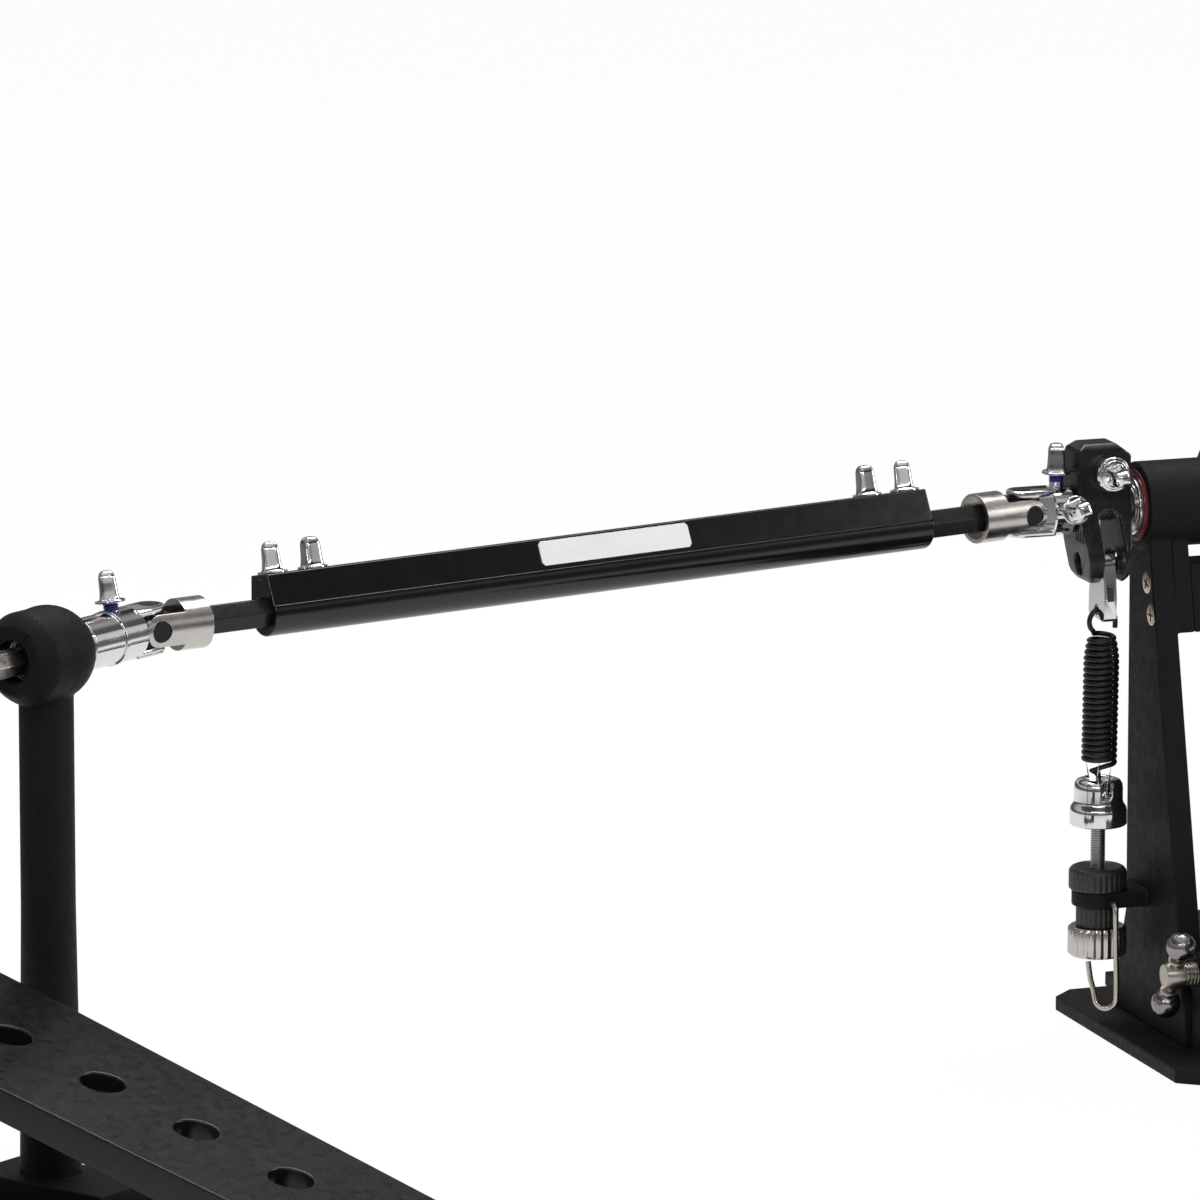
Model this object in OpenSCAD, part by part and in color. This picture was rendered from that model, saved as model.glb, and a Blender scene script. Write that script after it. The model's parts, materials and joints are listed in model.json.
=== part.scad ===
// Double bass drum pedal: main pedal, slave pedal and telescoping drive shaft.
// Row frame: origin on the floor under the middle of the main axle, +X to the player's right,
// +Y forward to the drum, +Z up. Millimetres.

/* [Axles and bearings] */
// height of every axle above the floor
axle_h = 180; // [170:1:195]
// hexagonal axle, across flats
axle_af = 8; // [7:0.5:9]
// radius of the round bearing journals on the axles
journal_r = 6.5; // [6:0.1:7]
// outer radius of the bearing races
race_r = 9.8; // [9:0.1:10.5]
// radius of the bearing barrels on top of the towers
barrel_r = 14.5; // [13:0.5:16]
// running clearance between a turning part and its seat, radial
fit = 0.05; // [0.02:0.01:0.09]

/* [Main pedal] */
// from the middle of the pedal to the outer face of a bearing barrel
tower_x = 61; // [58:0.5:66]
// length of a bearing barrel
barrel_len = 24; // [22:0.5:26]
// thickness of a tower's web
web_t = 8; // [7:0.5:10]
// thickness of the steel base plates
base_t = 5; // [4:0.5:6]

/* [Footboards] */
// from heel pin to toe pin
board_len = 230; // [220:1:240]
// slope of a footboard at rest, degrees
board_incline = 14; // [12:0.5:16]
// height of the heel pins
heel_h = 28; // [26:0.5:32]
// width of a footboard at the toe
board_w = 70; // [64:1:76]
// how far the toe pin is ahead of the axle
toe_y = 27; // [26:0.25:28]

/* [Drive arms and beaters] */
// from the axle to the link pin on a drive arm
arm_len = 30; // [28:0.5:32]
// how far a drive arm points above level at rest, degrees
arm_lift = 21; // [18:1:24]
// radius of the link pins and heel pins
pin_r = 2.5; // [2.2:0.1:3]
// open play of a link on the toe pin, radial
link_play = 1; // [1:0.1:1.2]
// how far a beater leans back at rest, degrees
beater_tilt = 40; // [35:1:45]
// radius of a beater rod
beater_rod_r = 3.15; // [3:0.05:3.5]
// from the axle to the middle of a beater head
beater_len = 165; // [150:1:180]

/* [Return springs] */
// from the middle of the pedal to the line of a return spring
spring_x = 74.5; // [74:0.25:76]
// from the axle to the spring pin in a rocker
spring_arm = 19.1; // [18.5:0.1:19.8]
// how far back of straight down the spring pin is at rest, degrees
spring_back = 17; // [14:1:20]
// depth of a spring's lower anchor below the axle
anchor_drop = 93; // [91:0.5:96]
// how far the lower anchor is ahead of the axle
anchor_y = -2.8; // [-4:0.1:-2]
// thickness of the spring wire
wire_d = 1.5; // [1.3:0.05:1.5]
// outer radius of a return spring
coil_r = 6; // [5.6:0.1:6.3]
// number of coils in a return spring
coils = 22; // [16:1:22]

/* [Drive shaft] */
// from the middle of the main pedal to the right universal joint
joint_x = 102; // [101:0.5:106]
// turn of the drive shaft seen from above, degrees
shaft_yaw = 15; // [10:0.5:17]
// length of the tube
tube_len = 256; // [250:1:270]
// from the left universal joint to the tube
tube_start = 42.3; // [39:0.1:45]
// from the tube to the right universal joint
tube_end = 40.4; // [33:0.1:45]
// radius of the round lower part of the tube
tube_r = 7.6; // [7:0.1:8]
// height of the tube's flat top above the shaft's axis
tube_top = 12; // [11:0.1:12.5]
// how far the tube and its bolts lean back on the hexagonal rods, degrees
tube_lean = 12; // [0:1:15]
// hexagonal drive rods, across flats
rod_af = 9; // [8:0.25:9.5]
// outer radius of the universal joint yokes
yoke_r = 8.3; // [8:0.1:8.8]
// radius of the cross pins in the universal joints
cross_r = 3.15; // [2.8:0.05:3.2]

/* [Slave pedal] */
// turn of the slave pedal seen from above, degrees
slave_yaw = 33.5; // [28:0.5:36]
// from the middle of the slave pedal to the left universal joint
slave_reach = 108; // [107:0.5:112]
// from the middle of the slave pedal to its post
post_s = 58; // [57:0.5:60]
// radius of the ball shaped bearing housing
ball_r = 15.2; // [14.5:0.1:16]
// radius of the post's round column
column_r = 8.6; // [8:0.1:9.5]

/* [Hoop clamp] */
// gap under the clamp's jaw for the drum's hoop
hoop_gap = 13; // [12:0.5:14]
// height of the clamp's hinge pin
clamp_h = 20.5; // [20:0.5:22]

/* [Hidden] */
$fn = 72;

// radii and lengths that follow from the sizes above
hex_r = axle_af / 2 / cos(30);
rod_hex_r = rod_af / 2 / cos(30);
barrel_in = tower_x - barrel_len;
race_out = 2.3;
race_w = 8;
seal_r = 12;
seal_t = 0.8;
web_x = tower_x - 1;
web_in = web_x - web_t;
block_in = web_x - 14;
block_low = axle_h - 41;
bridge_h = 22.5;
rake = 0.23;
foot_top = base_t + 17;
heel_y = toe_y - board_len * cos(board_incline);
toe_h = heel_h + board_len * sin(board_incline);
arm_y = arm_len * cos(arm_lift);
arm_z = axle_h + arm_len * sin(arm_lift);
bolt_r = 2.5;
flange_r = 4.8;
flange_t = 1.6;
key_h = 8.6;
key_w = 5.5;
hub_w = 16;
hub_r = 12.5;
cheek_in = 4.4;
cheek_out = 8;
beater_off = hub_r - 1;
main_hub_x = 20;
aux_hub_x = 26;
spigot_r = 2.5;
rocker_in = spring_x - 8.9;
rocker_out = spring_x + 10;
clamp_bolt_x = rocker_in + 7.8;
clamp_bolt_z = 13;
hanger_pin_r = 2.4;
slot_r = hanger_pin_r + 0.35;
slot_run = 1.9;
pin_y = -spring_arm * sin(spring_back);
pin_z = -spring_arm * cos(spring_back);
spring_tilt = atan2(anchor_y - pin_y, anchor_drop + pin_z);
spring_len = sqrt(pow(anchor_drop + pin_z, 2) + pow(anchor_y - pin_y, 2));
anchor_z = axle_h - anchor_drop;
lug_top = anchor_z - 36;
lug_t = 5.5;
lug_r = 8.7;
knob_h = 7.6;
knob_r = 9.7;
spacer_h = 7;
spacer_r = 7.2;
nut_h = 10;
clip_stand = 10.5;
nut_r = 9.9;
rod_low = lug_top - lug_t - spacer_h - nut_h + 1;
thread_r = 2.5;
cap_r = 9.6;
cap_neck_r = 8.2;
coil_low = 4.8;
coil_top = spring_len - 23;
hook_r = 4.6;
hook_z = coil_top + 3.6;
hole_z = hook_z + hook_r - 0.3;
ear_r = 5.2;
ear_in = 5.45;
ear_play = 0.28;
hub_start = 9.5;
aux_yoke_len = joint_x - rocker_out - 0.5;
top_bolt_x = aux_yoke_len - 4.5;
rear_bolt_x = aux_yoke_len - 3.1;
rear_tilt = 80;
rear_stand = 6.2;
slave_bolt_x = 16.6;
ring_x = slave_bolt_x + bolt_r + 0.3;
ring_w = 1.8;
slave_tilt = -10;
slave_stand = 2.5;
bolt_stand = 4.2;
recess_r = yoke_r - 1.4;
recess_t = 3;
rod_yoke_len = 19;
rod_in = 60;
tube_fit = 0.06;
ridge_y = 4.9;
crease_z = 1.6;
slope_y = tube_r - 0.5;
tube_bolt_in = 5.2;
tube_bolt_gap = 15;
label_at = 102.2;
label_len = 58;
label_edge = 0.9;
label_h = 8.1;
shaft_span = tube_start + tube_len + tube_end;
left_x = -joint_x - shaft_span * cos(shaft_yaw);
left_y = -shaft_span * sin(shaft_yaw);
slave_x = left_x - slave_reach * cos(slave_yaw);
slave_y = left_y - slave_reach * sin(slave_yaw);
ball_s = post_s + 0.6;
ball_left = post_s - 16;
foot_r = column_r + 1.3;
taper_h = 95;
race_in = 6;
ball_face = ball_s + sqrt(ball_r * ball_r - yoke_r * yoke_r) + 0.3;
slave_yoke_len = slave_reach - ball_face - 1;
clamp_y = -5;
pad_t = 1;
pad_half = 28;
plate_half = tower_x + 13;
plate_back = -72;
plate_front = 44;
slave_left = 42;
slave_right = post_s + 22;
screw_y = -49;
screw_z = base_t + 25.85;
screw_x = tower_x + 4.6;
screw_cone = 6;
handle_tilt = 30;
wing_x = block_in - 0.3;
tail_gap = 0.3;
lever_t = 6;

// helpers
module block(x0, x1, y0, y1, z0, z1) {
    translate([x0, y0, z0]) cube([x1 - x0, y1 - y0, z1 - z0]);
}

module rod_x(r, x0, x1) {
    translate([x0, 0, 0]) rotate([0, 90, 0]) cylinder(r = r, h = x1 - x0);
}

module rod_y(r, y0, y1) {
    translate([0, y0, 0]) rotate([-90, 0, 0]) cylinder(r = r, h = y1 - y0);
}

module hex_x(r, x0, x1) {
    translate([x0, 0, 0]) rotate([0, 90, 0]) rotate([0, 0, 30]) cylinder(r = r, h = x1 - x0, $fn = 6);
}

module side(x0, x1, points) {
    translate([x0, 0, 0]) rotate([90, 0, 90]) linear_extrude(x1 - x0) polygon(points);
}

module front(y0, y1, points) {
    translate([0, y1, 0]) rotate([90, 0, 0]) linear_extrude(y1 - y0) polygon(points);
}

module at_axle() {
    translate([0, 0, axle_h]) children();
}

module in_shaft() {
    translate([left_x, left_y, axle_h]) rotate([0, 0, shaft_yaw]) children();
}

module in_tube() {
    in_shaft() rotate([-tube_lean, 0, 0]) children();
}

module in_slave() {
    translate([slave_x, slave_y, 0]) rotate([0, 0, slave_yaw]) children();
}

module right_side() {
    mirror([1, 0, 0]) children();
}

module both_sides() {
    children();
    mirror([1, 0, 0]) children();
}

// square headed key bolt: flange seat at z = 0, shank down by depth
module key_bolt(depth) {
    translate([0, 0, -depth]) cylinder(r = bolt_r, h = depth + flange_t);
    cylinder(r = flange_r, h = flange_t);
    translate([0, 0, flange_t]) intersection() {
        translate([-key_w / 2, -key_w / 2, -0.1]) cube([key_w, key_w, key_h + 0.1]);
        cylinder(r = key_w * 0.62, h = key_h);
    }
}

// one base plate with its front half-widths to the left and right
module base_plate(left, right, back, front_y, nose) {
    rear = heel_y - 78;
    linear_extrude(base_t) polygon([[-36, rear + 8], [-28, rear], [28, rear], [36, rear + 8],
        [36, back - 30], [right, back], [right, front_y - 8], [right - 8, front_y], [nose, front_y],
        [nose, front_y + 20], [-nose, front_y + 20], [-nose, front_y], [8 - left, front_y],
        [-left, front_y - 8], [-left, back], [-36, back - 30]]);
}

module heel_plate() {
    top = heel_h + 6;
    difference() {
        union() {
            side(-30, 30, [[heel_y - 74, top - 8], [heel_y - 74, top - 2], [heel_y - 70, top],
                [heel_y - 7.5, top], [heel_y - 7.5, top - 8]]);
            for (s = [-1, 1]) {
                translate([s * 25, 0, 0]) side(-5, 5, [[heel_y - 72, base_t], [heel_y - 72, top - 7],
                    [heel_y - 7.5, top - 7], [heel_y, heel_h], [heel_y + 6, heel_h],
                    [heel_y + 6, base_t]]);
                translate([s * 25, heel_y, heel_h]) rod_x(6, -5, 5);
                translate([s * 25, 0, 0]) side(-5, 5, [[heel_y - 9, heel_h], [heel_y - 9, top],
                    [heel_y - 7.5, top], [heel_y, heel_h + 6], [heel_y, heel_h]]);
            }
        }
        translate([0, heel_y, heel_h]) rod_x(pin_r, -31, 31);
    }
}

module heel_pin() {
    translate([0, heel_y, heel_h]) rod_x(pin_r, -30.5, 30.5);
}

// footboard in its own frame: heel pin at the origin, toe pin at y = board_len
module board() {
    half = board_w / 2;
    nose = board_len - 12;
    translate([0, heel_y, heel_h]) rotate([board_incline, 0, 0]) difference() {
        union() {
            translate([0, 0, -2]) linear_extrude(8) polygon([[-half + 5, 8], [half - 5, 8],
                [half, nose - 40], [half, nose - 12], [half - 4, nose - 4], [half - 12, nose],
                [12 - half, nose], [4 - half, nose - 4], [-half, nose - 12], [-half, nose - 40]]);
            for (s = [-1, 1]) {
                translate([s * (half - 9), 0, 0]) block(-3, 3, 20, nose - 30, -7, 0);
            }
            block(-20 + tail_gap, 20 - tail_gap, 0, 12, -4, 6);
            rod_x(6, -20 + tail_gap, 20 - tail_gap);
        }
        rod_x(pin_r + fit, -21, 21);
        for (k = [0 : 3]) {
            translate([0, 55 + k * 38, 0]) cylinder(r = 7, h = 30, center = true);
        }
    }
}

module toe_clevis() {
    nose = board_len - 12;
    translate([0, heel_y, heel_h]) rotate([board_incline, 0, 0]) {
        block(-15, 15, nose - 26, nose - 1, -6, -2);
        for (s = [-1, 1]) {
            translate([s * (cheek_in + cheek_out) / 2, 0, 0]) {
                side((cheek_in - cheek_out) / 2, (cheek_out - cheek_in) / 2, [[nose - 20, -6],
                    [nose - 20, -3], [nose - 1, -2.5], [nose + 1, -2.5], [board_len, 5.5],
                    [board_len, -6]]);
                translate([0, board_len, 0]) rod_x(6, (cheek_in - cheek_out) / 2, (cheek_out - cheek_in) / 2);
            }
        }
        translate([0, board_len, 0]) rod_x(pin_r, -cheek_out, cheek_out);
    }
}

// drive arm: hub on the axle, two cheeks and the link pin
module drive_arm() {
    at_axle() difference() {
        union() {
            rod_x(hub_r, -cheek_out, cheek_out);
            rotate([arm_lift, 0, 0]) {
                for (s = [-1, 1]) {
                    translate([s * (cheek_in + cheek_out) / 2, 0, 0]) {
                        side((cheek_in - cheek_out) / 2, (cheek_out - cheek_in) / 2, [[0, -hub_r],
                            [arm_len + 1, -6], [arm_len + 1, 6], [0, hub_r]]);
                        translate([0, arm_len, 0]) rod_x(6, (cheek_in - cheek_out) / 2, (cheek_out - cheek_in) / 2);
                    }
                }
                translate([0, arm_len, 0]) rod_x(pin_r, -cheek_out, cheek_out);
            }
        }
        hex_x(hex_r, -9, 9);
    }
}

// link from the drive arm's pin down to the toe pin, with play in its lower eye
module drive_link() {
    low_y = toe_y - 0.857;
    low_z = toe_h + 0.048;
    len = sqrt(pow(arm_y - low_y, 2) + pow(arm_z - low_z, 2));
    lean = atan2(arm_y - low_y, arm_z - low_z);
    translate([0, low_y, low_z]) rotate([-lean, 0, 0]) difference() {
        union() {
            rod_x(7.2, -cheek_in + tail_gap, cheek_in - tail_gap);
            translate([0, 0, len]) rod_x(6.2, -cheek_in + tail_gap, cheek_in - tail_gap);
            block(-3.5, 3.5, -4.5, 4.5, 3, len - 3);
        }
        rod_x(pin_r + link_play, -5, 5);
        translate([0, 0, len]) rod_x(pin_r + fit, -5, 5);
        for (k = [0 : 4]) {
            translate([0, 0, len * (0.26 + 0.12 * k)]) rod_x(2, -5, 5);
        }
    }
}

// beater hub, drawn with the beater upright
module beater_hub(x) {
    at_axle() translate([x, 0, 0]) rotate([beater_tilt, 0, 0]) difference() {
        union() {
            rod_x(hub_r, -hub_w / 2, hub_w / 2);
            block(-hub_w / 2, hub_w / 2, beater_off - 7, beater_off + 6.5, -8, 14);
        }
        rotate([-beater_tilt, 0, 0]) hex_x(hex_r, -hub_w, hub_w);
        translate([0, beater_off, -20]) cylinder(r = beater_rod_r + fit, h = 60);
        translate([0, beater_off, 3]) rod_y(bolt_r, 2, 10);
        rotate([180, 0, 0]) translate([0, 0, hex_r]) cylinder(r = bolt_r, h = 20);
    }
}

module hub_bolts(x) {
    at_axle() translate([x, 0, 0]) rotate([beater_tilt, 0, 0]) {
        translate([0, beater_off + 6.5, 3]) rotate([-90, 0, 0]) key_bolt(6.5 - beater_rod_r - 2 * fit);
    }
}

module hub_screw(x) {
    at_axle() translate([x, 0, 0]) rotate([beater_tilt, 0, 0]) {
        translate([0, 0, -hub_r]) cylinder(r = bolt_r, h = hub_r - hex_r);
    }
}

module beater_rod(x) {
    at_axle() translate([x, 0, 0]) rotate([beater_tilt, 0, 0]) translate([0, beater_off, -13])
        cylinder(r = beater_rod_r, h = beater_len + 13 + 12);
}

module beater_head(x) {
    at_axle() translate([x, 0, 0]) rotate([beater_tilt, 0, 0]) translate([0, beater_off, beater_len])
        difference() {
            union() {
                rod_y(21, -17, 20);
                rod_y(18, -21, -17);
                rod_y(18, 20, 23);
            }
            cylinder(r = beater_rod_r, h = 60, center = true);
        }
}

// left tower: barrel, web, bridge block, spring lug and foot
module tower() {
    back = -12 - rake * (block_low + 21 - foot_top);
    low = -12 - rake * 21;
    difference() {
        union() {
            at_axle() rod_x(barrel_r, -tower_x, -barrel_in);
            side(-web_x, -web_in, [[back, foot_top - 2], [low, block_low], [-11, axle_h - 14],
                [-9, axle_h], [9, axle_h], [8, axle_h - 29], [8, 41],
                [14, foot_top + 2], [14, foot_top - 2]]);
            side(-web_x, -block_in, [[low, block_low], [-11.5, axle_h - 18], [-9, axle_h - 8],
                [8, axle_h - 8], [8, block_low]]);
            side(-web_x, -block_in, [[back - 2, base_t], [back - 2, foot_top - 3],
                [back + 1, foot_top], [14, foot_top], [17, foot_top - 3], [17, base_t]]);
            translate([0, 0, lug_top - lug_t]) {
                translate([-spring_x, anchor_y, 0]) cylinder(r = lug_r, h = lug_t);
                block(-spring_x, -web_x + 1, anchor_y - lug_r, anchor_y + lug_r, 0, lug_t);
            }
        }
        at_axle() rod_x(race_r, -tower_x - 1, -barrel_in + 1);
        bridge_screws_left();
        translate([-spring_x, anchor_y, 0]) cylinder(r = thread_r, h = anchor_z);
    }
}

module bridge_screws_left() {
    for (p = [[-7.4, -25.1], [-11.5, -35.2]]) {
        translate([0, p[0], axle_h + p[1]]) {
            rod_x(2, -web_x, -block_in + 8);
            translate([-web_x - 0.01, 0, 0]) rotate([0, 90, 0]) cylinder(r1 = 3.7, r2 = 2, h = 1.9);
        }
    }
}

module bridge() {
    low = -12 - rake * 21;
    difference() {
        side(-block_in, block_in, [[low, block_low], [low + rake * bridge_h, block_low + bridge_h],
            [0, block_low + bridge_h], [0, block_low + 4], [-4, block_low]]);
        both_sides() bridge_screws_left();
    }
}

module races() {
    at_axle() both_sides() {
        for (x = [-tower_x - race_out, -barrel_in - race_w]) {
            difference() {
                rod_x(race_r, x, x + race_w);
                rod_x(journal_r + fit, x - 1, x + race_w + 1);
            }
        }
    }
}

module seals() {
    at_axle() both_sides() difference() {
        rod_x(seal_r, -tower_x - seal_t, -tower_x);
        rod_x(race_r, -tower_x - 2, -tower_x + 1);
    }
}

// slotted spring cap on its threaded rod, left side
module cap_and_rod() {
    translate([-spring_x, anchor_y, anchor_z]) difference() {
        union() {
            translate([0, 0, -14.2]) cylinder(r = cap_r, h = 5.2);
            translate([0, 0, -9]) cylinder(r1 = cap_r, r2 = cap_neck_r, h = 2.5);
            translate([0, 0, -6.5]) cylinder(r = cap_neck_r, h = 8.2);
            translate([0, 0, rod_low - anchor_z]) cylinder(r = thread_r, h = anchor_z - rod_low - 13);
        }
        block(-2.6, 2.6, -12, 12, -4, 8);
    }
}

module spacer() {
    translate([-spring_x, anchor_y, lug_top - lug_t - spacer_h]) difference() {
        cylinder(r = spacer_r, h = spacer_h);
        translate([0, 0, -1]) cylinder(r = thread_r, h = spacer_h + 2);
    }
}

module knob() {
    translate([-spring_x, anchor_y, lug_top + 0.1]) difference() {
        union() {
            cylinder(r = knob_r, h = knob_h - 1.4);
            translate([0, 0, knob_h - 1.4]) cylinder(r1 = knob_r, r2 = knob_r - 1.6, h = 1.4);
        }
        translate([0, 0, -1]) cylinder(r = thread_r + fit, h = knob_h + 2);
    }
}

module nut() {
    translate([-spring_x, anchor_y, lug_top - lug_t - spacer_h - nut_h - 0.1]) difference() {
        cylinder(r = nut_r, h = nut_h);
        translate([0, 0, -1]) cylinder(r = thread_r + fit, h = nut_h + 2);
    }
}

// wire clip that keeps the lock nut from turning: from the lug down, round and up to the nut
module clip() {
    y = anchor_y - nut_r - 1.5;
    low = lug_top - lug_t - spacer_h - nut_h;
    bend = 3;
    loop_z = base_t + clip_stand;
    drop = low - loop_z;
    path = concat(
        [[-spring_x + 1, anchor_y - lug_r - 0.05, lug_top - 3], [-spring_x + 1, y + 1.4, lug_top - 3.1],
            [-spring_x + 1, y + 0.5, lug_top - 3.6], [-spring_x + 1, y, lug_top - 4.8],
            [-spring_x + 1, y, lug_top - 7]],
        [[-spring_x + 1.5, y, low - drop / 2], [-spring_x + 1.5, y, loop_z + drop / 12]],
        [for (a = [0 : 30 : 180]) [-spring_x - 1.5 + bend * cos(a), y + a / 45, loop_z - bend * sin(a)]],
        [[-spring_x - 4.9, y + 4.6, loop_z + drop / 4], [-spring_x - 6, y + 6, low - drop / 3],
            [-spring_x - 6.2, y + 6.4, low - 0.5]]);
    wire(path, 0.95, 8);
}

// left rocker, clamped on the axle; its slotted legs carry the hanger's pin
module rocker() {
    mid = spring_x;
    difference() {
        at_axle() intersection() {
            side(-rocker_out, -rocker_in, [[5, 20.8], [3, 22.8], [-5.5, 22.8], [-7.5, 20.8], [-7.5, 4.4],
                [-12, -4], [-16, -10], [-17, -15], [-15.4, -20.5], [-11.5, -23.2], [0, -23.2],
                [4, -20], [6, -14], [8, -6], [8, 15]]);
            front(-30, 30, [[-rocker_out, -8], [-rocker_out + 1.3, -21], [-rocker_out + 2.8, -23.3],
                [-rocker_in - 4, -23.3], [-rocker_in - 3.4, -21.5], [-rocker_in - 3, -12],
                [-rocker_in, 2], [-rocker_in, 18.6], [-rocker_in - 5.6, 22.9],
                [-rocker_out + 3, 22.9], [-rocker_out, 20.5]]);
        }
        at_axle() {
            hex_x(hex_r, -rocker_out - 1, -rocker_in + 1);
            translate([-mid, 0, 0]) {
                block(-3.6, 3.6, -30, 30, -30, -2.5);
                translate([0, 0, -2.5]) rod_y(3.6, -30, 30);
            }
            rotate([-spring_back, 0, 0]) translate([0, 0, -spring_arm]) {
                rod_x(slot_r, -rocker_out - 1, -rocker_in + 1);
                translate([0, 0, slot_run]) rod_x(slot_r, -rocker_out - 1, -rocker_in + 1);
                block(-rocker_out - 1, -rocker_in + 1, -slot_r, slot_r, 0, slot_run);
            }
            translate([-clamp_bolt_x, 0, clamp_bolt_z]) rod_y(bolt_r, -20, 3);
        }
    }
}

// hanger from the rocker's pin down to the spring's hook, drawn in the spring's own frame
module spring_frame() {
    translate([-spring_x, anchor_y, anchor_z]) rotate([spring_tilt, 0, 0]) children();
}

module hanger() {
    low = hole_z - 3;
    spring_frame() difference() {
        union() {
            translate([0, 0, spring_len]) rod_x(5.5, -2.2, 2.2);
            side(-2.2, 2.2, [[-7, low + 1], [-6, low], [6, low], [7, low + 1], [7, low + 8],
                [5.5, spring_len], [-5.5, spring_len], [-7, low + 8]]);
            translate([0, 0, spring_len]) rod_x(hanger_pin_r, -7.4, 7.4);
        }
        translate([0, 0, hole_z]) rod_x(1.9, -3, 3);
        block(-1.1, 1.1, -8, -5, hole_z + 4, hole_z + 9);
    }
}

// return spring: one wire from the cap up the coils and over into the hanger's hole
function bell(t) = t < 0.22 ? 0.72 + 0.28 * sin(90 * t / 0.22) : 1;
function coil_point(t) = let (r = (coil_r - wire_d / 2) * bell(1 - t), a = 360 * coils * t + 180)
    [r * cos(a), r * sin(a), coil_low + wire_d + (coil_top - coil_low - 1.5 * wire_d) * t];
function hook_point(a) = [hook_r * cos(a), 0, hook_z + hook_r * sin(a)];
coil_steps = 8 * coils;
spring_path = concat(
    [[0, 0, -3.4], [0, 0, -0.5], [0, 0, coil_low - 2.9], [-0.5, 0, coil_low - 1.5],
        [-2.2, -0.1, coil_low - 0.4]],
    [for (k = [2 : coil_steps - 1]) coil_point(k / coil_steps)],
    [[-3.1, 0, coil_top + 0.3]],
    [for (a = [208 : -16 : 0]) hook_point(a)],
    [[hook_r, 0, hook_z - 0.9], [hook_r, 0, hook_z - 2.4]]);

// least gap between stretches of the wire that are at least one coil's steps apart
function wire_gap(p, d, apart) = min([for (i = [0 : len(p) - 1 - apart])
    for (k = [i + apart : len(p) - 1]) norm(p[k] - p[i])]) - d;
echo(str("least gap of a spring's wire to itself, mm: ", wire_gap(spring_path, wire_d, 6)));

function unit(v) = v / norm(v);
function path_dir(p, k) = k == 0 ? unit(p[1] - p[0])
    : k == len(p) - 1 ? unit(p[k] - p[k - 1]) : unit(unit(p[k + 1] - p[k]) + unit(p[k] - p[k - 1]));
function turn_on(n, d) = unit(n - (n * d) * d);
function path_normals(p, k, n) = k >= len(p) ? [] :
    let (m = turn_on(n, path_dir(p, k))) concat([m], path_normals(p, k + 1, m));

module wire(p, r, sides) {
    n = path_normals(p, 0, [0, 1, 0]);
    rings = len(p);
    points = [for (k = [0 : rings - 1]) let (d = path_dir(p, k), u = n[k], v = cross(d, u))
        for (s = [0 : sides - 1]) p[k] + r * (cos(360 * s / sides) * u + sin(360 * s / sides) * v)];
    walls = [for (k = [0 : rings - 2]) for (s = [0 : sides - 1]) let (t = (s + 1) % sides)
        each [[k * sides + s, (k + 1) * sides + s, k * sides + t],
            [k * sides + t, (k + 1) * sides + s, (k + 1) * sides + t]]];
    ends = [[for (s = [0 : sides - 1]) s], [for (s = [sides - 1 : -1 : 0]) (rings - 1) * sides + s]];
    polyhedron(points = points, faces = concat(walls, ends));
}

module spring() {
    spring_frame() wire(spring_path, wire_d / 2, 6);
}

// chrome yoke in its own frame: joint centre at the origin, hub along +X, ears above and below
module axle_yoke(length, bores) {
    difference() {
        union() {
            rod_x(yoke_r, hub_start, length);
            intersection() {
                rod_x(yoke_r, -ear_r, hub_start + 1);
                for (s = [-1, 1]) {
                    translate([0, 0, s > 0 ? ear_in : -yoke_r]) {
                        cylinder(r = ear_r, h = yoke_r - ear_in);
                        block(0, hub_start + 1, -ear_r, ear_r, 0, yoke_r - ear_in);
                    }
                }
            }
        }
        cylinder(r = cross_r + fit, h = 40, center = true);
        for (b = bores) {
            translate([b[0], 0, 0]) rotate([b[1], 0, 0]) translate([0, 0, 1]) cylinder(r = bolt_r, h = 20);
        }
        hex_x(hex_r, hub_start + 1, length + 1);
    }
}

// satin yoke: hub along +X, ears front and back
module rod_yoke(length) {
    difference() {
        union() {
            rod_x(yoke_r, hub_start, length);
            intersection() {
                rod_x(yoke_r, -ear_r, hub_start + 1);
                for (s = [-1, 1]) {
                    translate([0, s > 0 ? ear_in : -yoke_r, 0]) {
                        rod_y(ear_r, 0, yoke_r - ear_in);
                        block(0, hub_start + 1, 0, yoke_r - ear_in, -ear_r, ear_r);
                    }
                }
            }
        }
        rod_y(cross_r + ear_play, -20, 20);
        rotate([-tube_lean, 0, 0]) hex_x(rod_hex_r, hub_start + 1, length + 1);
        rod_x(recess_r, length - recess_t, length + 1);
    }
}

// cross: block and pins; turn is the angle from the axle's frame to the shaft's
module cross_piece(turn) {
    intersection() {
        cube(2 * ear_in - 2 * tail_gap, center = true);
        rotate([0, 0, turn]) cube(2 * ear_in - 2 * tail_gap, center = true);
    }
    cylinder(r = cross_r, h = 2 * yoke_r - 0.6, center = true);
    rotate([0, 0, turn]) rod_y(cross_r, -yoke_r + 0.3, yoke_r - 0.3);
}

module tube() {
    hole_h = tube_top - 2.8;
    far_end = tube_start + tube_len;
    in_tube() difference() {
        union() {
            intersection() {
                rod_x(tube_r, tube_start, far_end);
                block(tube_start, far_end, -tube_r, tube_r, -tube_r, crease_z);
            }
            side(tube_start, far_end, [[ridge_y, tube_top], [slope_y, crease_z], [slope_y, -1],
                [-slope_y, -1], [-slope_y, crease_z], [-ridge_y, tube_top]]);
        }
        hex_x(rod_hex_r + tube_fit, tube_start - 1, far_end + 1);
        for (x = [tube_start - 1, far_end - 2.5]) {
            translate([0, 0, hole_h]) rod_x(1.2, x, x + 3.5);
        }
        for (x = bolt_places) {
            translate([x, 0, rod_af / 2 - 1]) cylinder(r = bolt_r, h = 20);
        }
    }
}

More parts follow.
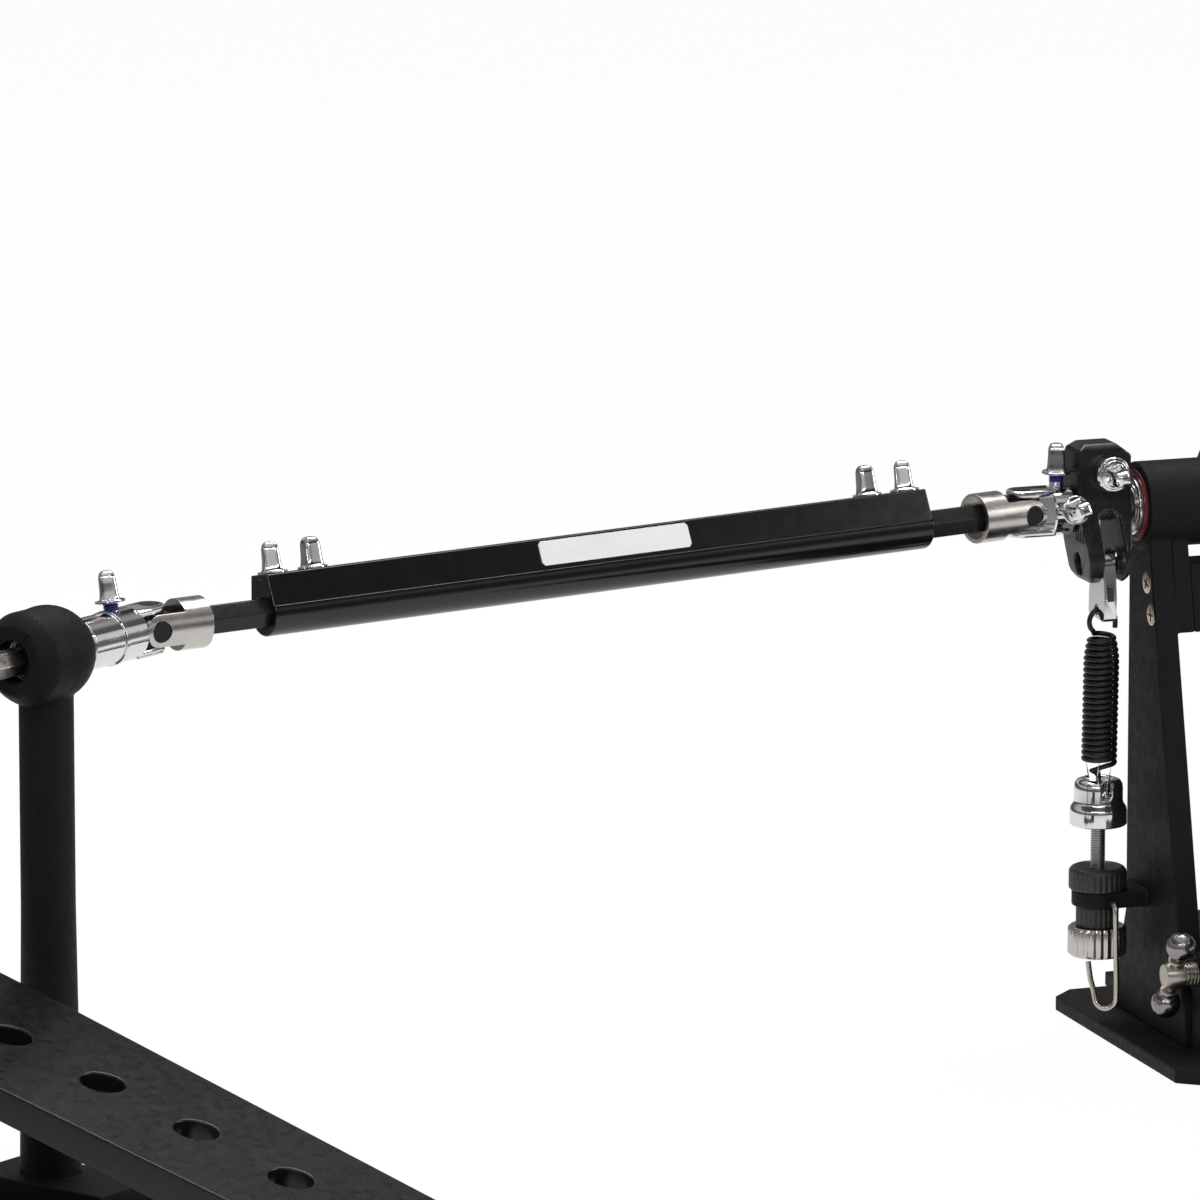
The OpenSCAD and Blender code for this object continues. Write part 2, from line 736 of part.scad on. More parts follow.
bolt_places = [for (x = [tube_bolt_in, tube_bolt_in + tube_bolt_gap, tube_len - tube_bolt_in - tube_bolt_gap,
    tube_len - tube_bolt_in]) tube_start + x];

module tube_bolt_set() {
    in_tube() {
        for (k = [0 : 3]) {
            translate([bolt_places[k], 0, tube_top]) key_bolt(tube_top - rod_af / 2 - (k < 2 ? 0.08 : 0));
        }
    }
}

module label() {
    tilt = atan2(tube_top - crease_z, slope_y - ridge_y);
    in_tube() translate([tube_start + label_at, -ridge_y, tube_top]) rotate([tilt, 0, 0]) mirror([0, 1, 0])
        linear_extrude(0.5) polygon([[0, label_edge + 1], [1, label_edge], [label_len - 1, label_edge],
            [label_len, label_edge + 1], [label_len, label_edge + label_h - 1],
            [label_len - 1, label_edge + label_h], [1, label_edge + label_h], [0, label_edge + label_h - 1]]);
}

// front jaw, hinge barrel and raised tail with the wedge face
module lever() {
    jaw = base_t + pad_t + hoop_gap;
    top = clamp_h + lever_t / 2;
    difference() {
        union() {
            translate([0, clamp_y, clamp_h]) rod_x(6, -34, 34);
            block(-30, 30, clamp_y, 46, top - lever_t, top);
            side(-30, 30, [[44, jaw + 2], [46, jaw], [64, jaw], [64, jaw + 5], [50, top + 1],
                [44, top]]);
            block(-34, 20, screw_y - 4, clamp_y, top - lever_t, top);
            translate([0, screw_y, 0]) front(-4, 4, [[-wing_x + 0.6, screw_z + screw_cone + tail_gap],
                [-wing_x + 6.9, screw_z + tail_gap], [-wing_x + 6.9, top - lever_t], [-32, top - lever_t],
                [-32, screw_z + screw_cone + 5], [-wing_x + 0.6, screw_z + screw_cone + 5]]);
            translate([0, clamp_y, clamp_h]) rod_x(3, -40.5, 40.5);
        }
        block(-8, 8, screw_y + 6, clamp_y - 10, 0, 60);
    }
}

module clamp_lugs() {
    for (s = [-1, 1]) {
        translate([s * 37.5, 0, 0]) difference() {
            union() {
                side(-3, 3, [[clamp_y - 8, base_t - 1], [clamp_y - 6, clamp_h], [clamp_y + 6, clamp_h],
                    [clamp_y + 8, base_t - 1]]);
                translate([0, clamp_y, clamp_h]) rod_x(6, -3, 3);
            }
            translate([0, clamp_y, clamp_h]) rod_x(3 + fit, -4, 4);
        }
    }
    difference() {
        union() {
            side(-tower_x + 3, -tower_x + 9, [[screw_y - 9, base_t - 1], [screw_y - 7, screw_z],
                [screw_y + 6, screw_z], [screw_y + 2.5, foot_top + 1], [screw_y + 2.5, base_t - 1]]);
            translate([0, screw_y, screw_z]) rod_x(7, -tower_x + 3, -tower_x + 9);
        }
        translate([0, screw_y, screw_z]) rod_x(4 + fit, -tower_x, -tower_x + 12);
    }
}

module screw_handle() {
    handle_r = 12.7;
    translate([0, screw_y, screw_z]) {
        rod_x(4, -screw_x - 3.5, -wing_x);
        translate([-wing_x, 0, 0]) rotate([0, 90, 0]) cylinder(r1 = screw_cone, r2 = 0.6, h = screw_cone - 0.6);
        rod_x(screw_cone, -wing_x - 0.6, -wing_x);
        translate([-screw_x, 0, 0]) rotate([handle_tilt, 0, 0]) {
            cylinder(r = 1.7, h = 2 * handle_r, center = true);
            for (s = [-1, 1]) {
                translate([0, 0, s * handle_r]) sphere(r = 4.9);
                translate([0, 0, s * 6.6]) cylinder(r = 3.1, h = 1.6, center = true);
            }
        }
    }
}

// single post of the slave pedal with its ball shaped bearing housing
module post() {
    neck_r = ball_r - 0.3;
    in_slave() difference() {
        union() {
            translate([post_s, 0, base_t]) {
                cylinder(r1 = foot_r, r2 = column_r, h = taper_h);
                cylinder(r = column_r, h = axle_h - race_r - 1.2 - base_t);
            }
            at_axle() {
                intersection() {
                    translate([ball_s, 0, 0]) sphere(r = ball_r);
                    rod_x(ball_r + 1, ball_left, ball_face - 0.6);
                }
                intersection() {
                    rod_x(neck_r, ball_left, ball_s);
                    translate([ball_s - 4.5, 0, 0]) sphere(r = ball_r + 1);
                }
            }
            block(post_s - 14, post_s + 14, -32, 22, base_t, base_t + 9);
        }
        at_axle() {
            rod_x(race_r, ball_left + race_in, ball_face - 4);
            rod_x(journal_r + fit + 0.1, ball_left - 1, ball_face + 1);
        }
    }
}

module post_races() {
    in_slave() at_axle() {
        for (x = [ball_left + race_in, ball_face - 4 - race_w]) {
            difference() {
                rod_x(race_r, x, x + race_w);
                rod_x(journal_r + fit, x - 1, x + race_w + 1);
            }
        }
    }
}

// axles: hexagonal bars with round journals
module main_bar() {
    at_axle() {
        hex_x(hex_r, -10, spring_x + 12.5);
        rod_x(journal_r, barrel_in, tower_x + race_out + 0.4);
        rod_x(spigot_r, -27, -9);
    }
}

module aux_bar() {
    at_axle() difference() {
        union() {
            hex_x(hex_r, -joint_x + hub_start + 1, -17);
            rod_x(journal_r, -tower_x - race_out - 0.4, -barrel_in);
        }
        rod_x(spigot_r + fit, -28, -16);
    }
}

module slave_bar() {
    in_slave() at_axle() {
        hex_x(hex_r, -9.5, slave_reach - hub_start - 1);
        rod_x(journal_r, ball_left + race_in + 1, ball_face - 0.9);
    }
}

module main_base_all() {
    base_plate(plate_half, plate_half, plate_back, plate_front, 45);
    block(-pad_half, pad_half, plate_front + 3, plate_front + 18, base_t - 1, base_t + pad_t);
    clamp_lugs();
}

module in_slave_joint() {
    translate([left_x, left_y, axle_h]) rotate([0, 0, slave_yaw]) mirror([1, 0, 0]) children();
}

module aux_bolts() {
    translate([-joint_x, 0, axle_h]) {
        translate([top_bolt_x, 0, yoke_r + bolt_stand]) key_bolt(yoke_r + bolt_stand - axle_af / 2);
        translate([rear_bolt_x, 0, 0]) rotate([rear_tilt, 0, 0]) translate([0, 0, yoke_r + rear_stand])
            key_bolt(yoke_r + rear_stand - hex_r);
    }
    rocker_bolt();
    hub_bolts(-aux_hub_x);
    hub_screw(-aux_hub_x);
}

module rocker_bolt() {
    translate([-clamp_bolt_x, -9.1, axle_h + clamp_bolt_z]) rotate([90, 0, 0]) {
        translate([0, 0, -1.6]) cylinder(r = 5.9, h = 4.5);
        translate([0, 0, 2.5]) key_bolt(12);
    }
}

color([0.06, 0.06, 0.07]) main_base_all();  // main_base
color([0.07, 0.07, 0.08]) heel_plate();  // main_heel
color([0.7, 0.7, 0.72]) heel_pin();  // main_heel_pin
color([0.05, 0.05, 0.06]) tower();  // left_tower
color([0.05, 0.05, 0.06]) right_side() tower();  // right_tower
color([0.05, 0.05, 0.06]) bridge();  // tower_bridge
color([0.6, 0.55, 0.5]) both_sides() bridge_screws_left();  // bridge_screws
color([0.8, 0.8, 0.82]) races();  // bearing_races
color([0.35, 0.05, 0.05]) seals();  // bearing_seals
color([0.8, 0.8, 0.82]) both_sides() cap_and_rod();  // spring_caps
color([0.04, 0.04, 0.05]) both_sides() spacer();  // spring_spacers
color([0.6, 0.58, 0.55]) both_sides() clip();  // clip_wires
color([0.08, 0.08, 0.09]) board();  // main_board
color([0.7, 0.7, 0.72]) toe_clevis();  // main_toe_clevis
color([0.5, 0.5, 0.5]) main_bar();  // main_axle_bar
color([0.06, 0.06, 0.07]) beater_hub(main_hub_x);  // main_hub
color([0.06, 0.06, 0.07]) drive_arm();  // main_arm
color([0.05, 0.05, 0.06]) right_side() rocker();  // right_rocker
color([0.85, 0.85, 0.87]) {  // main_axle_bolts
    right_side() rocker_bolt();
    hub_bolts(main_hub_x);
    hub_screw(main_hub_x);
}
color([0.75, 0.75, 0.77]) drive_link();  // main_link
color([0.85, 0.85, 0.87]) beater_rod(main_hub_x);  // main_beater_rod
color([0.9, 0.88, 0.84]) beater_head(main_hub_x);  // main_beater_head
color([0.5, 0.5, 0.5]) aux_bar();  // aux_axle_bar
color([0.06, 0.06, 0.07]) beater_hub(-aux_hub_x);  // aux_hub
color([0.05, 0.05, 0.06]) rocker();  // left_rocker
color([0.85, 0.85, 0.87]) {  // aux_yoke
    translate([-joint_x, 0, axle_h]) axle_yoke(aux_yoke_len, [[top_bolt_x, 0], [rear_bolt_x, rear_tilt]]);
}
color([0.85, 0.85, 0.87]) aux_bolts();  // aux_axle_bolts
color([0.85, 0.85, 0.87]) beater_rod(-aux_hub_x);  // aux_beater_rod
color([0.9, 0.88, 0.84]) beater_head(-aux_hub_x);  // aux_beater_head
color([0.85, 0.85, 0.87]) hanger();  // left_hanger
color([0.85, 0.85, 0.87]) right_side() hanger();  // right_hanger
color([0.06, 0.06, 0.07]) spring();  // left_spring
color([0.06, 0.06, 0.07]) right_side() spring();  // right_spring
color([0.05, 0.05, 0.06]) knob();  // left_knob
color([0.05, 0.05, 0.06]) right_side() knob();  // right_knob
color([0.85, 0.85, 0.87]) nut();  // left_nut
color([0.85, 0.85, 0.87]) right_side() nut();  // right_nut
color([0.07, 0.07, 0.08]) lever();  // clamp_lever
color([0.6, 0.58, 0.56]) screw_handle();  // clamp_screw
color([0.04, 0.04, 0.05]) tube();  // drive_tube
color([0.85, 0.85, 0.86]) label();  // label_plate
color([0.05, 0.05, 0.06]) {  // right_rod
    in_tube() hex_x(rod_hex_r, shaft_span - tube_end - rod_in, shaft_span - hub_start - 1);
}
color([0.7, 0.69, 0.67]) {  // right_yoke
    in_shaft() translate([shaft_span, 0, 0]) mirror([1, 0, 0]) rod_yoke(rod_yoke_len);
}
color([0.85, 0.85, 0.87]) tube_bolt_set();  // tube_bolts
color([0.05, 0.05, 0.06]) {  // left_rod
    in_tube() hex_x(rod_hex_r, hub_start + 1, tube_start + rod_in);
}
color([0.7, 0.69, 0.67]) in_shaft() rod_yoke(rod_yoke_len);  // left_yoke
color([0.25, 0.25, 0.27]) {  // left_cross
    translate([left_x, left_y, axle_h]) rotate([0, 0, slave_yaw]) cross_piece(shaft_yaw - slave_yaw);
}
color([0.25, 0.25, 0.27]) {  // right_cross
    translate([-joint_x, 0, axle_h]) cross_piece(shaft_yaw);
}
color([0.06, 0.06, 0.07]) {  // slave_base
    in_slave() base_plate(slave_left, slave_right, plate_back + 12, plate_front - 10, 30);
}
color([0.07, 0.07, 0.08]) in_slave() heel_plate();  // slave_heel
color([0.7, 0.7, 0.72]) in_slave() heel_pin();  // slave_heel_pin
color([0.05, 0.05, 0.06]) post();  // slave_post
color([0.8, 0.8, 0.82]) post_races();  // slave_races
color([0.08, 0.08, 0.09]) in_slave() board();  // slave_board
color([0.7, 0.7, 0.72]) in_slave() toe_clevis();  // slave_toe_clevis
color([0.5, 0.5, 0.5]) slave_bar();  // slave_axle_bar
color([0.06, 0.06, 0.07]) in_slave() drive_arm();  // slave_arm
color([0.85, 0.85, 0.87]) {  // slave_axle_yoke
    in_slave_joint() {
        axle_yoke(slave_yoke_len, [[slave_bolt_x, slave_tilt]]);
        difference() {
            rod_x(yoke_r + 0.5, ring_x, ring_x + ring_w);
            hex_x(hex_r, ring_x - 1, ring_x + ring_w + 1);
        }
    }
}
color([0.85, 0.85, 0.87]) {  // slave_axle_bolts
    in_slave_joint() translate([slave_bolt_x, 0, 0]) rotate([slave_tilt, 0, 0])
        translate([0, 0, yoke_r + slave_stand]) key_bolt(yoke_r + slave_stand - hex_r);
}
color([0.75, 0.75, 0.77]) in_slave() drive_link();  // slave_link
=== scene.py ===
"""Looks of a double bass drum pedal, dressed over its packed frame and laid out as a Blender add-on."""

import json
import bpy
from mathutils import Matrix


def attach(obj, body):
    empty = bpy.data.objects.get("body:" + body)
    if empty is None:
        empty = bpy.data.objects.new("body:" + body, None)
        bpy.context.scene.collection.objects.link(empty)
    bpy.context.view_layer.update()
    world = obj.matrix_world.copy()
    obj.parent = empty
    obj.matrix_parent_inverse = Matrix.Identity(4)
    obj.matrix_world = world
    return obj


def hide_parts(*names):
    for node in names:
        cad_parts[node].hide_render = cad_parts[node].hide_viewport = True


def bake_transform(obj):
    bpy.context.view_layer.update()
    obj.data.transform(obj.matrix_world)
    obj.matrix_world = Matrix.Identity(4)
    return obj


bl_info = {
    "name": "Double bass drum pedal",
    "version": (1, 0, 0),
    "blender": (4, 5, 0),
    "location": "View3D > Sidebar > Pedal",
    "description": "Dresses the pedal's frame with its finished pieces, stage and camera",
    "category": "Object",
}

from math import atan2, cos, hypot, pi, radians, sin

import bmesh
import bpy
from bpy.props import FloatProperty, FloatVectorProperty, IntProperty, PointerProperty
from mathutils import Matrix, Vector

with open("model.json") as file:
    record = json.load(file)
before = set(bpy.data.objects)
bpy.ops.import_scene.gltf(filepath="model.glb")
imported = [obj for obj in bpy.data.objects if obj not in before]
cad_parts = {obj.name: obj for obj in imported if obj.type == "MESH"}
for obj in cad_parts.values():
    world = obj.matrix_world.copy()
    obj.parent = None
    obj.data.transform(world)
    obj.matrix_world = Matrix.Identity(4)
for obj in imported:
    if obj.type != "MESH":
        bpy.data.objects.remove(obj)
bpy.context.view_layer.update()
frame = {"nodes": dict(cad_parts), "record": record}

MM = 0.001
FINISH = {}

# sizes and places that follow the part's source, in millimetres and degrees
AXLE_H = 180.0
SPRING_X = 74.5
ANCHOR_Y = -2.8
ANCHOR_Z = 87.0
SPRING_ARM = 19.1
SPRING_BACK = 17.0
JOINT_X = 102.0
SHAFT_SPAN = 338.7
SHAFT_YAW = 15.0
TUBE_START = 42.3
TUBE_LEN = 256.0
TUBE_TOP = 12.0
TUBE_LEAN = 12.0
TUBE_BOLTS = ((5.2, -24), (20.2, -3), (TUBE_LEN - 20.2, -15), (TUBE_LEN - 5.2, -32))
SLAVE_YAW = 33.5
BEATER_TILT = 40.0
BEATER_OFF = 11.5
BEATER_LEN = 165.0
MAIN_HUB_X = 20.0
AUX_HUB_X = -26.0
TOWER_X = 61.0
BARREL_IN = 37.0
LUG_TOP = 51.0
LUG_T = 5.5
SPACER_H = 7.0
NUT_H = 10.0
BASE_T = 5.0
CLIP_STAND = 10.5
ROD_LOW = LUG_TOP - LUG_T - SPACER_H - NUT_H + 1
KEY_W = 5.5
KEY_H = 8.6
YOKE_R = 8.3
AUX_YOKE_LEN = 17.0
TOP_BOLT_X = AUX_YOKE_LEN - 4.5
REAR_BOLT_X = AUX_YOKE_LEN - 3.1
REAR_TILT = 80.0
SLAVE_BOLT_X = 16.6
SLAVE_YOKE_LEN = 35.4
RING_X = SLAVE_BOLT_X + 2.8
RING_W = 1.8
HUB_START = 9.5
SLAVE_TILT = 10.0
CLAMP_BOLT = (73.4, -9.1, 13.0)
SCREW_AT = (-49.0, 30.85)
SCREW_X = 65.6
HANDLE_TILT = 30.0
BOLT_R = 2.5
FLANGE_R = 4.8
CAP_R = 8.2
CAP_RIM_R = 9.6
KNOB_R = 9.7
SPACER_R = 7.2
NUT_R = 9.9
NUT_BORE = 2.62
CLIP_R = 0.95
BEATER_ROD_R = 3.15
FELT_R = 21.0
BALL_R = 4.9
BALL_REACH = 12.7

# the photograph's camera: degrees, metres from the right joint, and the scale and pixel of that joint
AZIMUTH = -19.0
ELEVATION = 11.5
DISTANCE = 3.55
PIXELS_PER_MM = 3.02
JOINT_PIXEL = (1020.66, 512.54)
PHOTO_SIZE = 1200
SENSOR = 36.0


def place(x, y, z):
    return Matrix.Translation((x * MM, y * MM, z * MM))


def turn(angle, axis):
    return Matrix.Rotation(radians(angle), 4, axis)


LEFT_JOINT = (
    -JOINT_X - SHAFT_SPAN * cos(radians(SHAFT_YAW)),
    -SHAFT_SPAN * sin(radians(SHAFT_YAW)),
)
SHAFT = place(*LEFT_JOINT, AXLE_H) @ turn(SHAFT_YAW, "Z") @ turn(-TUBE_LEAN, "X")
PIN_DY = ANCHOR_Y + SPRING_ARM * sin(radians(SPRING_BACK))
PIN_DZ = AXLE_H - ANCHOR_Z - SPRING_ARM * cos(radians(SPRING_BACK))
SPRING_LEN = hypot(PIN_DY, PIN_DZ)


def spring_place(side):
    return place(side * SPRING_X, ANCHOR_Y, ANCHOR_Z) @ Matrix.Rotation(atan2(PIN_DY, PIN_DZ), 4, "X")


def hub_place(x):
    return place(x, 0, AXLE_H) @ turn(BEATER_TILT, "X")


class PedalSizes(bpy.types.PropertyGroup):
    """Sizes of the finished pieces"""

    thread_pitch: FloatProperty(name="Thread pitch",
                                description="Pitch of the bolts and tension rods, in millimetres",
                                default=0.8, min=0.5, max=1.5)
    spring_coils: IntProperty(name="Spring coils", description="Coils in each return spring", default=22,
                              min=10, max=24)
    spring_wire: FloatProperty(name="Spring wire",
                               description="Thickness of the spring wire, in millimetres", default=1.72,
                               min=1.0, max=1.9)
    knob_knurls: IntProperty(name="Knob knurls", description="Knurls round a tension knob", default=30,
                             min=12, max=60)
    nut_flutes: IntProperty(name="Nut flutes", description="Flutes round a tension nut", default=24,
                            min=10, max=40)
    edge: FloatProperty(name="Edge rounding",
                        description="Rounding of the cast and machined edges, in millimetres",
                        default=0.5, min=0.1, max=1.0)


class PedalColours(bpy.types.PropertyGroup):
    """Colours of the finishes"""

    coat: FloatVectorProperty(name="Powder coat", description="Colour of the textured black coat",
                              subtype="COLOR", size=3, default=(0.0065, 0.0062, 0.0072), min=0, max=1)
    cast: FloatVectorProperty(name="Satin casting", description="Colour of the satin black castings",
                              subtype="COLOR", size=3, default=(0.0055, 0.0053, 0.0062), min=0, max=1)
    anodised: FloatVectorProperty(name="Anodised tube", description="Colour of the drive tube",
                                  subtype="COLOR", size=3, default=(0.0035, 0.0035, 0.004), min=0, max=1)
    chrome: FloatVectorProperty(name="Chrome", description="Colour of the chrome", subtype="COLOR",
                                size=3, default=(0.80, 0.79, 0.80), min=0, max=1)
    nickel: FloatVectorProperty(name="Satin nickel", description="Colour of the satin yokes",
                                subtype="COLOR", size=3, default=(0.60, 0.57, 0.54), min=0, max=1)
    felt: FloatVectorProperty(name="Beater felt", description="Colour of the beaters", subtype="COLOR",
                              size=3, default=(0.72, 0.69, 0.62), min=0, max=1)


def sizes():
    return bpy.context.scene.pedal_sizes


def colours():
    return bpy.context.scene.pedal_colours


# finishes

def node(tree, kind, **values):
    made = tree.nodes.new(kind)
    for key, value in values.items():
        made.inputs[key.replace("_", " ")].default_value = value
    return made


def noise(tree, coords, scale, detail=3.0, stretch=None):
    made = node(tree, "ShaderNodeTexNoise", Scale=scale, Detail=detail, Roughness=0.55)
    source = coords
    if stretch:
        mapping = node(tree, "ShaderNodeMapping", Scale=stretch)
        tree.links.new(coords, mapping.inputs["Vector"])
        source = mapping.outputs["Vector"]
    tree.links.new(source, made.inputs["Vector"])
    return made.outputs["Fac"]


def ranged(tree, value, low, high):
    made = node(tree, "ShaderNodeMapRange", From_Min=0.3, From_Max=0.7, To_Min=low, To_Max=high)
    tree.links.new(value, made.inputs["Value"])
    return made.outputs["Result"]


def finish(key, colour, metallic, roughness, spread, grain, depth, blotch=0.12, stretch=None,
           cells=False, rounding=0.0, sheen=0.0, specular=0.5, patch_scale=90.0):
    """A finish: colour with soft blotches, varied roughness and a fine relief of its own grain."""
    made = bpy.data.materials.new(key)
    made.use_nodes = True
    tree = made.node_tree
    shader = tree.nodes["Principled BSDF"]
    coords = node(tree, "ShaderNodeTexCoord").outputs["Object"]
    mix = tree.nodes.new("ShaderNodeMix")
    mix.data_type = "RGBA"
    mix.inputs["A"].default_value = (*[c * (1 - blotch) for c in colour], 1)
    mix.inputs["B"].default_value = (*[min(c * (1 + blotch), 1) for c in colour], 1)
    tree.links.new(ranged(tree, noise(tree, coords, patch_scale), 0, 1), mix.inputs["Factor"])
    tree.links.new(mix.outputs["Result"], shader.inputs["Base Color"])
    low, high = max(roughness - spread, 0.02), min(roughness + spread, 1)
    tree.links.new(ranged(tree, noise(tree, coords, patch_scale * 3), low, high), shader.inputs["Roughness"])
    shader.inputs["Metallic"].default_value = metallic
    shader.inputs["Specular IOR Level"].default_value = specular
    shader.inputs["Sheen Weight"].default_value = sheen
    bump = node(tree, "ShaderNodeBump", Strength=0.6, Distance=depth * MM)
    if cells:
        cell = node(tree, "ShaderNodeTexVoronoi", Scale=grain)
        cell.feature = "SMOOTH_F1"
        tree.links.new(coords, cell.inputs["Vector"])
        tree.links.new(cell.outputs["Distance"], bump.inputs["Height"])
    else:
        tree.links.new(noise(tree, coords, grain, 4.0, stretch), bump.inputs["Height"])
    if rounding:
        edge = node(tree, "ShaderNodeBevel", Radius=rounding * MM)
        edge.samples = 6
        tree.links.new(edge.outputs["Normal"], bump.inputs["Normal"])
    tree.links.new(bump.outputs["Normal"], shader.inputs["Normal"])
    FINISH[key] = made


def make_finishes():
    c = colours()
    finish("powder_coat", c.coat, 0.0, 0.58, 0.06, 1000, 0.4, specular=0.14, rounding=0.35)
    finish("satin_casting", c.cast, 0.0, 0.3, 0.05, 800, 0.06, specular=0.42, rounding=0.35)
    finish("gloss_anodised", c.anodised, 0.1, 0.16, 0.02, 900, 0.004, specular=0.6, rounding=0.3)
    finish("black_oxide", (0.014, 0.0135, 0.015), 0.4, 0.28, 0.06, 900, 0.02, rounding=0.25)
    finish("chrome", c.chrome, 1.0, 0.07, 0.03, 60, 0.01, blotch=0.03, rounding=0.25)
    finish("satin_nickel", c.nickel, 1.0, 0.24, 0.04, 900, 0.004, blotch=0.04, rounding=0.3)
    finish("zinc", (0.50, 0.50, 0.48), 1.0, 0.36, 0.06, 700, 0.03)
    finish("machined_steel", (0.42, 0.38, 0.34), 1.0, 0.3, 0.08, 600, 0.02, stretch=(0.1, 1, 1),
           rounding=0.25)
    finish("tinted_screw", (0.55, 0.47, 0.38), 1.0, 0.3, 0.07, 500, 0.02)
    finish("hammered_steel", (0.30, 0.28, 0.28), 1.0, 0.24, 0.08, 520, 0.45, cells=True)
    finish("label_silver", (0.72, 0.72, 0.73), 0.35, 0.42, 0.04, 900, 0.01, blotch=0.03, stretch=(1, 0.08, 1))
    finish("link_aluminium", (0.62, 0.62, 0.63), 1.0, 0.34, 0.05, 700, 0.015, stretch=(1, 1, 0.1),
           rounding=0.3)
    finish("red_seal", (0.10, 0.011, 0.010), 0.0, 0.5, 0.06, 600, 0.03)
    finish("thread_lock", (0.012, 0.04, 0.16), 0.0, 0.5, 0.08, 900, 0.06)
    finish("clip_wire", (0.52, 0.47, 0.42), 1.0, 0.28, 0.05, 600, 0.01)
    finish("beater_felt", c.felt, 0.0, 0.95, 0.03, 1300, 0.7, blotch=0.18, sheen=0.35, patch_scale=300.0)
    finish("moulded_black", (0.016, 0.016, 0.017), 0.0, 0.38, 0.05, 800, 0.03, rounding=0.25)


# shapes

def shaped(points, closed=False):
    """A new bmesh that holds the line through these points, given in millimetres."""
    bm = bmesh.new()
    verts = [bm.verts.new((x * MM, y * MM, z * MM)) for x, y, z in points]
    ends = verts[1:] + ([verts[0]] if closed else [])
    edges = [bm.edges.new(pair) for pair in zip(verts, ends)]
    return bm, verts, edges


def tidied(bm):
    bmesh.ops.remove_doubles(bm, verts=bm.verts[:], dist=1e-6)
    bmesh.ops.recalc_face_normals(bm, faces=bm.faces[:])
    return bm


def turned(profile, steps=64, ring=False):
    """A turned shape about Z. The profile is radius and height; a ring's profile closes on itself."""
    bm, verts, edges = shaped([(r, 0, z) for r, z in profile], ring)
    bmesh.ops.spin(bm, geom=verts + edges, cent=(0, 0, 0), axis=(0, 0, 1), dvec=(0, 0, 0),
                   angle=2 * pi, steps=steps, use_merge=True, use_duplicate=False)
    return tidied(bm)


def slab(points, depth):
    """An outline in X and Y, raised along Z."""
    bm = bmesh.new()
    face = bm.faces.new([bm.verts.new((x * MM, y * MM, 0)) for x, y in points])
    raised = bmesh.ops.extrude_face_region(bm, geom=[face])["geom"]
    bmesh.ops.translate(bm, verts=[v for v in raised if isinstance(v, bmesh.types.BMVert)],
                        vec=(0, 0, depth * MM))
    return tidied(bm)


def box_shape(x, y, z):
    bm = bmesh.new()
    bmesh.ops.create_cube(bm, size=1, matrix=Matrix.Diagonal((x * MM, y * MM, z * MM, 1)))
    return bm


def bevelled(bm, offset, segments, pick):
    bm.normal_update()
    edges = [e for e in bm.edges if pick(e)]
    bmesh.ops.bevel(bm, geom=edges, offset=offset * MM, offset_type="OFFSET", segments=segments,
                    profile=0.5, affect="EDGES", material=-1)
    return bm


def moved(bm, matrix):
    bmesh.ops.transform(bm, matrix=matrix, verts=bm.verts[:])
    if matrix.determinant() < 0:
        bmesh.ops.recalc_face_normals(bm, faces=bm.faces[:])
    return bm


def joined(target, other, matrix=None):
    """Adds the faces of another bmesh, placed by a matrix, to the target."""
    if matrix is not None:
        moved(other, matrix)
    carrier = bpy.data.meshes.new("carrier")
    other.to_mesh(carrier)
    other.free()
    target.from_mesh(carrier)
    bpy.data.meshes.remove(carrier)
    return target


def threaded(radius, length, pitch, steps=20):
    """A screw thread along Z from 0 to length, closed at both ends."""
    root = radius - 0.55 * pitch
    crest = 0.12 * pitch
    bm, verts, edges = shaped([(root, 0, -pitch), (radius, 0, -0.5 * pitch - crest),
                               (radius, 0, -0.5 * pitch + crest), (root, 0, 0)])
    rounds = int(length / pitch) + 3
    bmesh.ops.spin(bm, geom=verts + edges, cent=(0, 0, 0), axis=(0, 0, 1), angle=2 * pi * rounds,
                   dvec=(0, 0, pitch * MM / steps), steps=steps * rounds, use_merge=False,
                   use_duplicate=False)
    bmesh.ops.remove_doubles(bm, verts=bm.verts[:], dist=1e-6)
    for height, up in ((0, -1), (length, 1)):
        geom = bm.verts[:] + bm.edges[:] + bm.faces[:]
        bmesh.ops.bisect_plane(bm, geom=geom, dist=1e-7, plane_co=(0, 0, height * MM),
                               plane_no=(0, 0, up), clear_outer=True)
        rim = [e for e in bm.edges if e.is_boundary and abs(e.verts[0].co.z - height * MM) < 1e-6
               and abs(e.verts[1].co.z - height * MM) < 1e-6]
        bmesh.ops.holes_fill(bm, edges=rim, sides=0)
    return tidied(bm)


def cut(bm, tool):
    """The bmesh with another one cut out of it."""
    scratch = []
    for part in (bm, tool):
        mesh = bpy.data.meshes.new("scratch")
        part.to_mesh(mesh)
        part.free()
        thing = bpy.data.objects.new("scratch", mesh)
        bpy.context.scene.collection.objects.link(thing)
        scratch.append(thing)
    boolean = scratch[0].modifiers.new("cut", "BOOLEAN")
    boolean.operation = "DIFFERENCE"
    boolean.solver = "EXACT"
    boolean.object = scratch[1]
    bpy.context.view_layer.update()
    result = bpy.data.meshes.new_from_object(scratch[0].evaluated_get(bpy.context.evaluated_depsgraph_get()))
    made = bmesh.new()
    made.from_mesh(result)
    bpy.data.meshes.remove(result)
    for thing in scratch:
        mesh = thing.data
        bpy.data.objects.remove(thing)
        bpy.data.meshes.remove(mesh)
    return tidied(made)


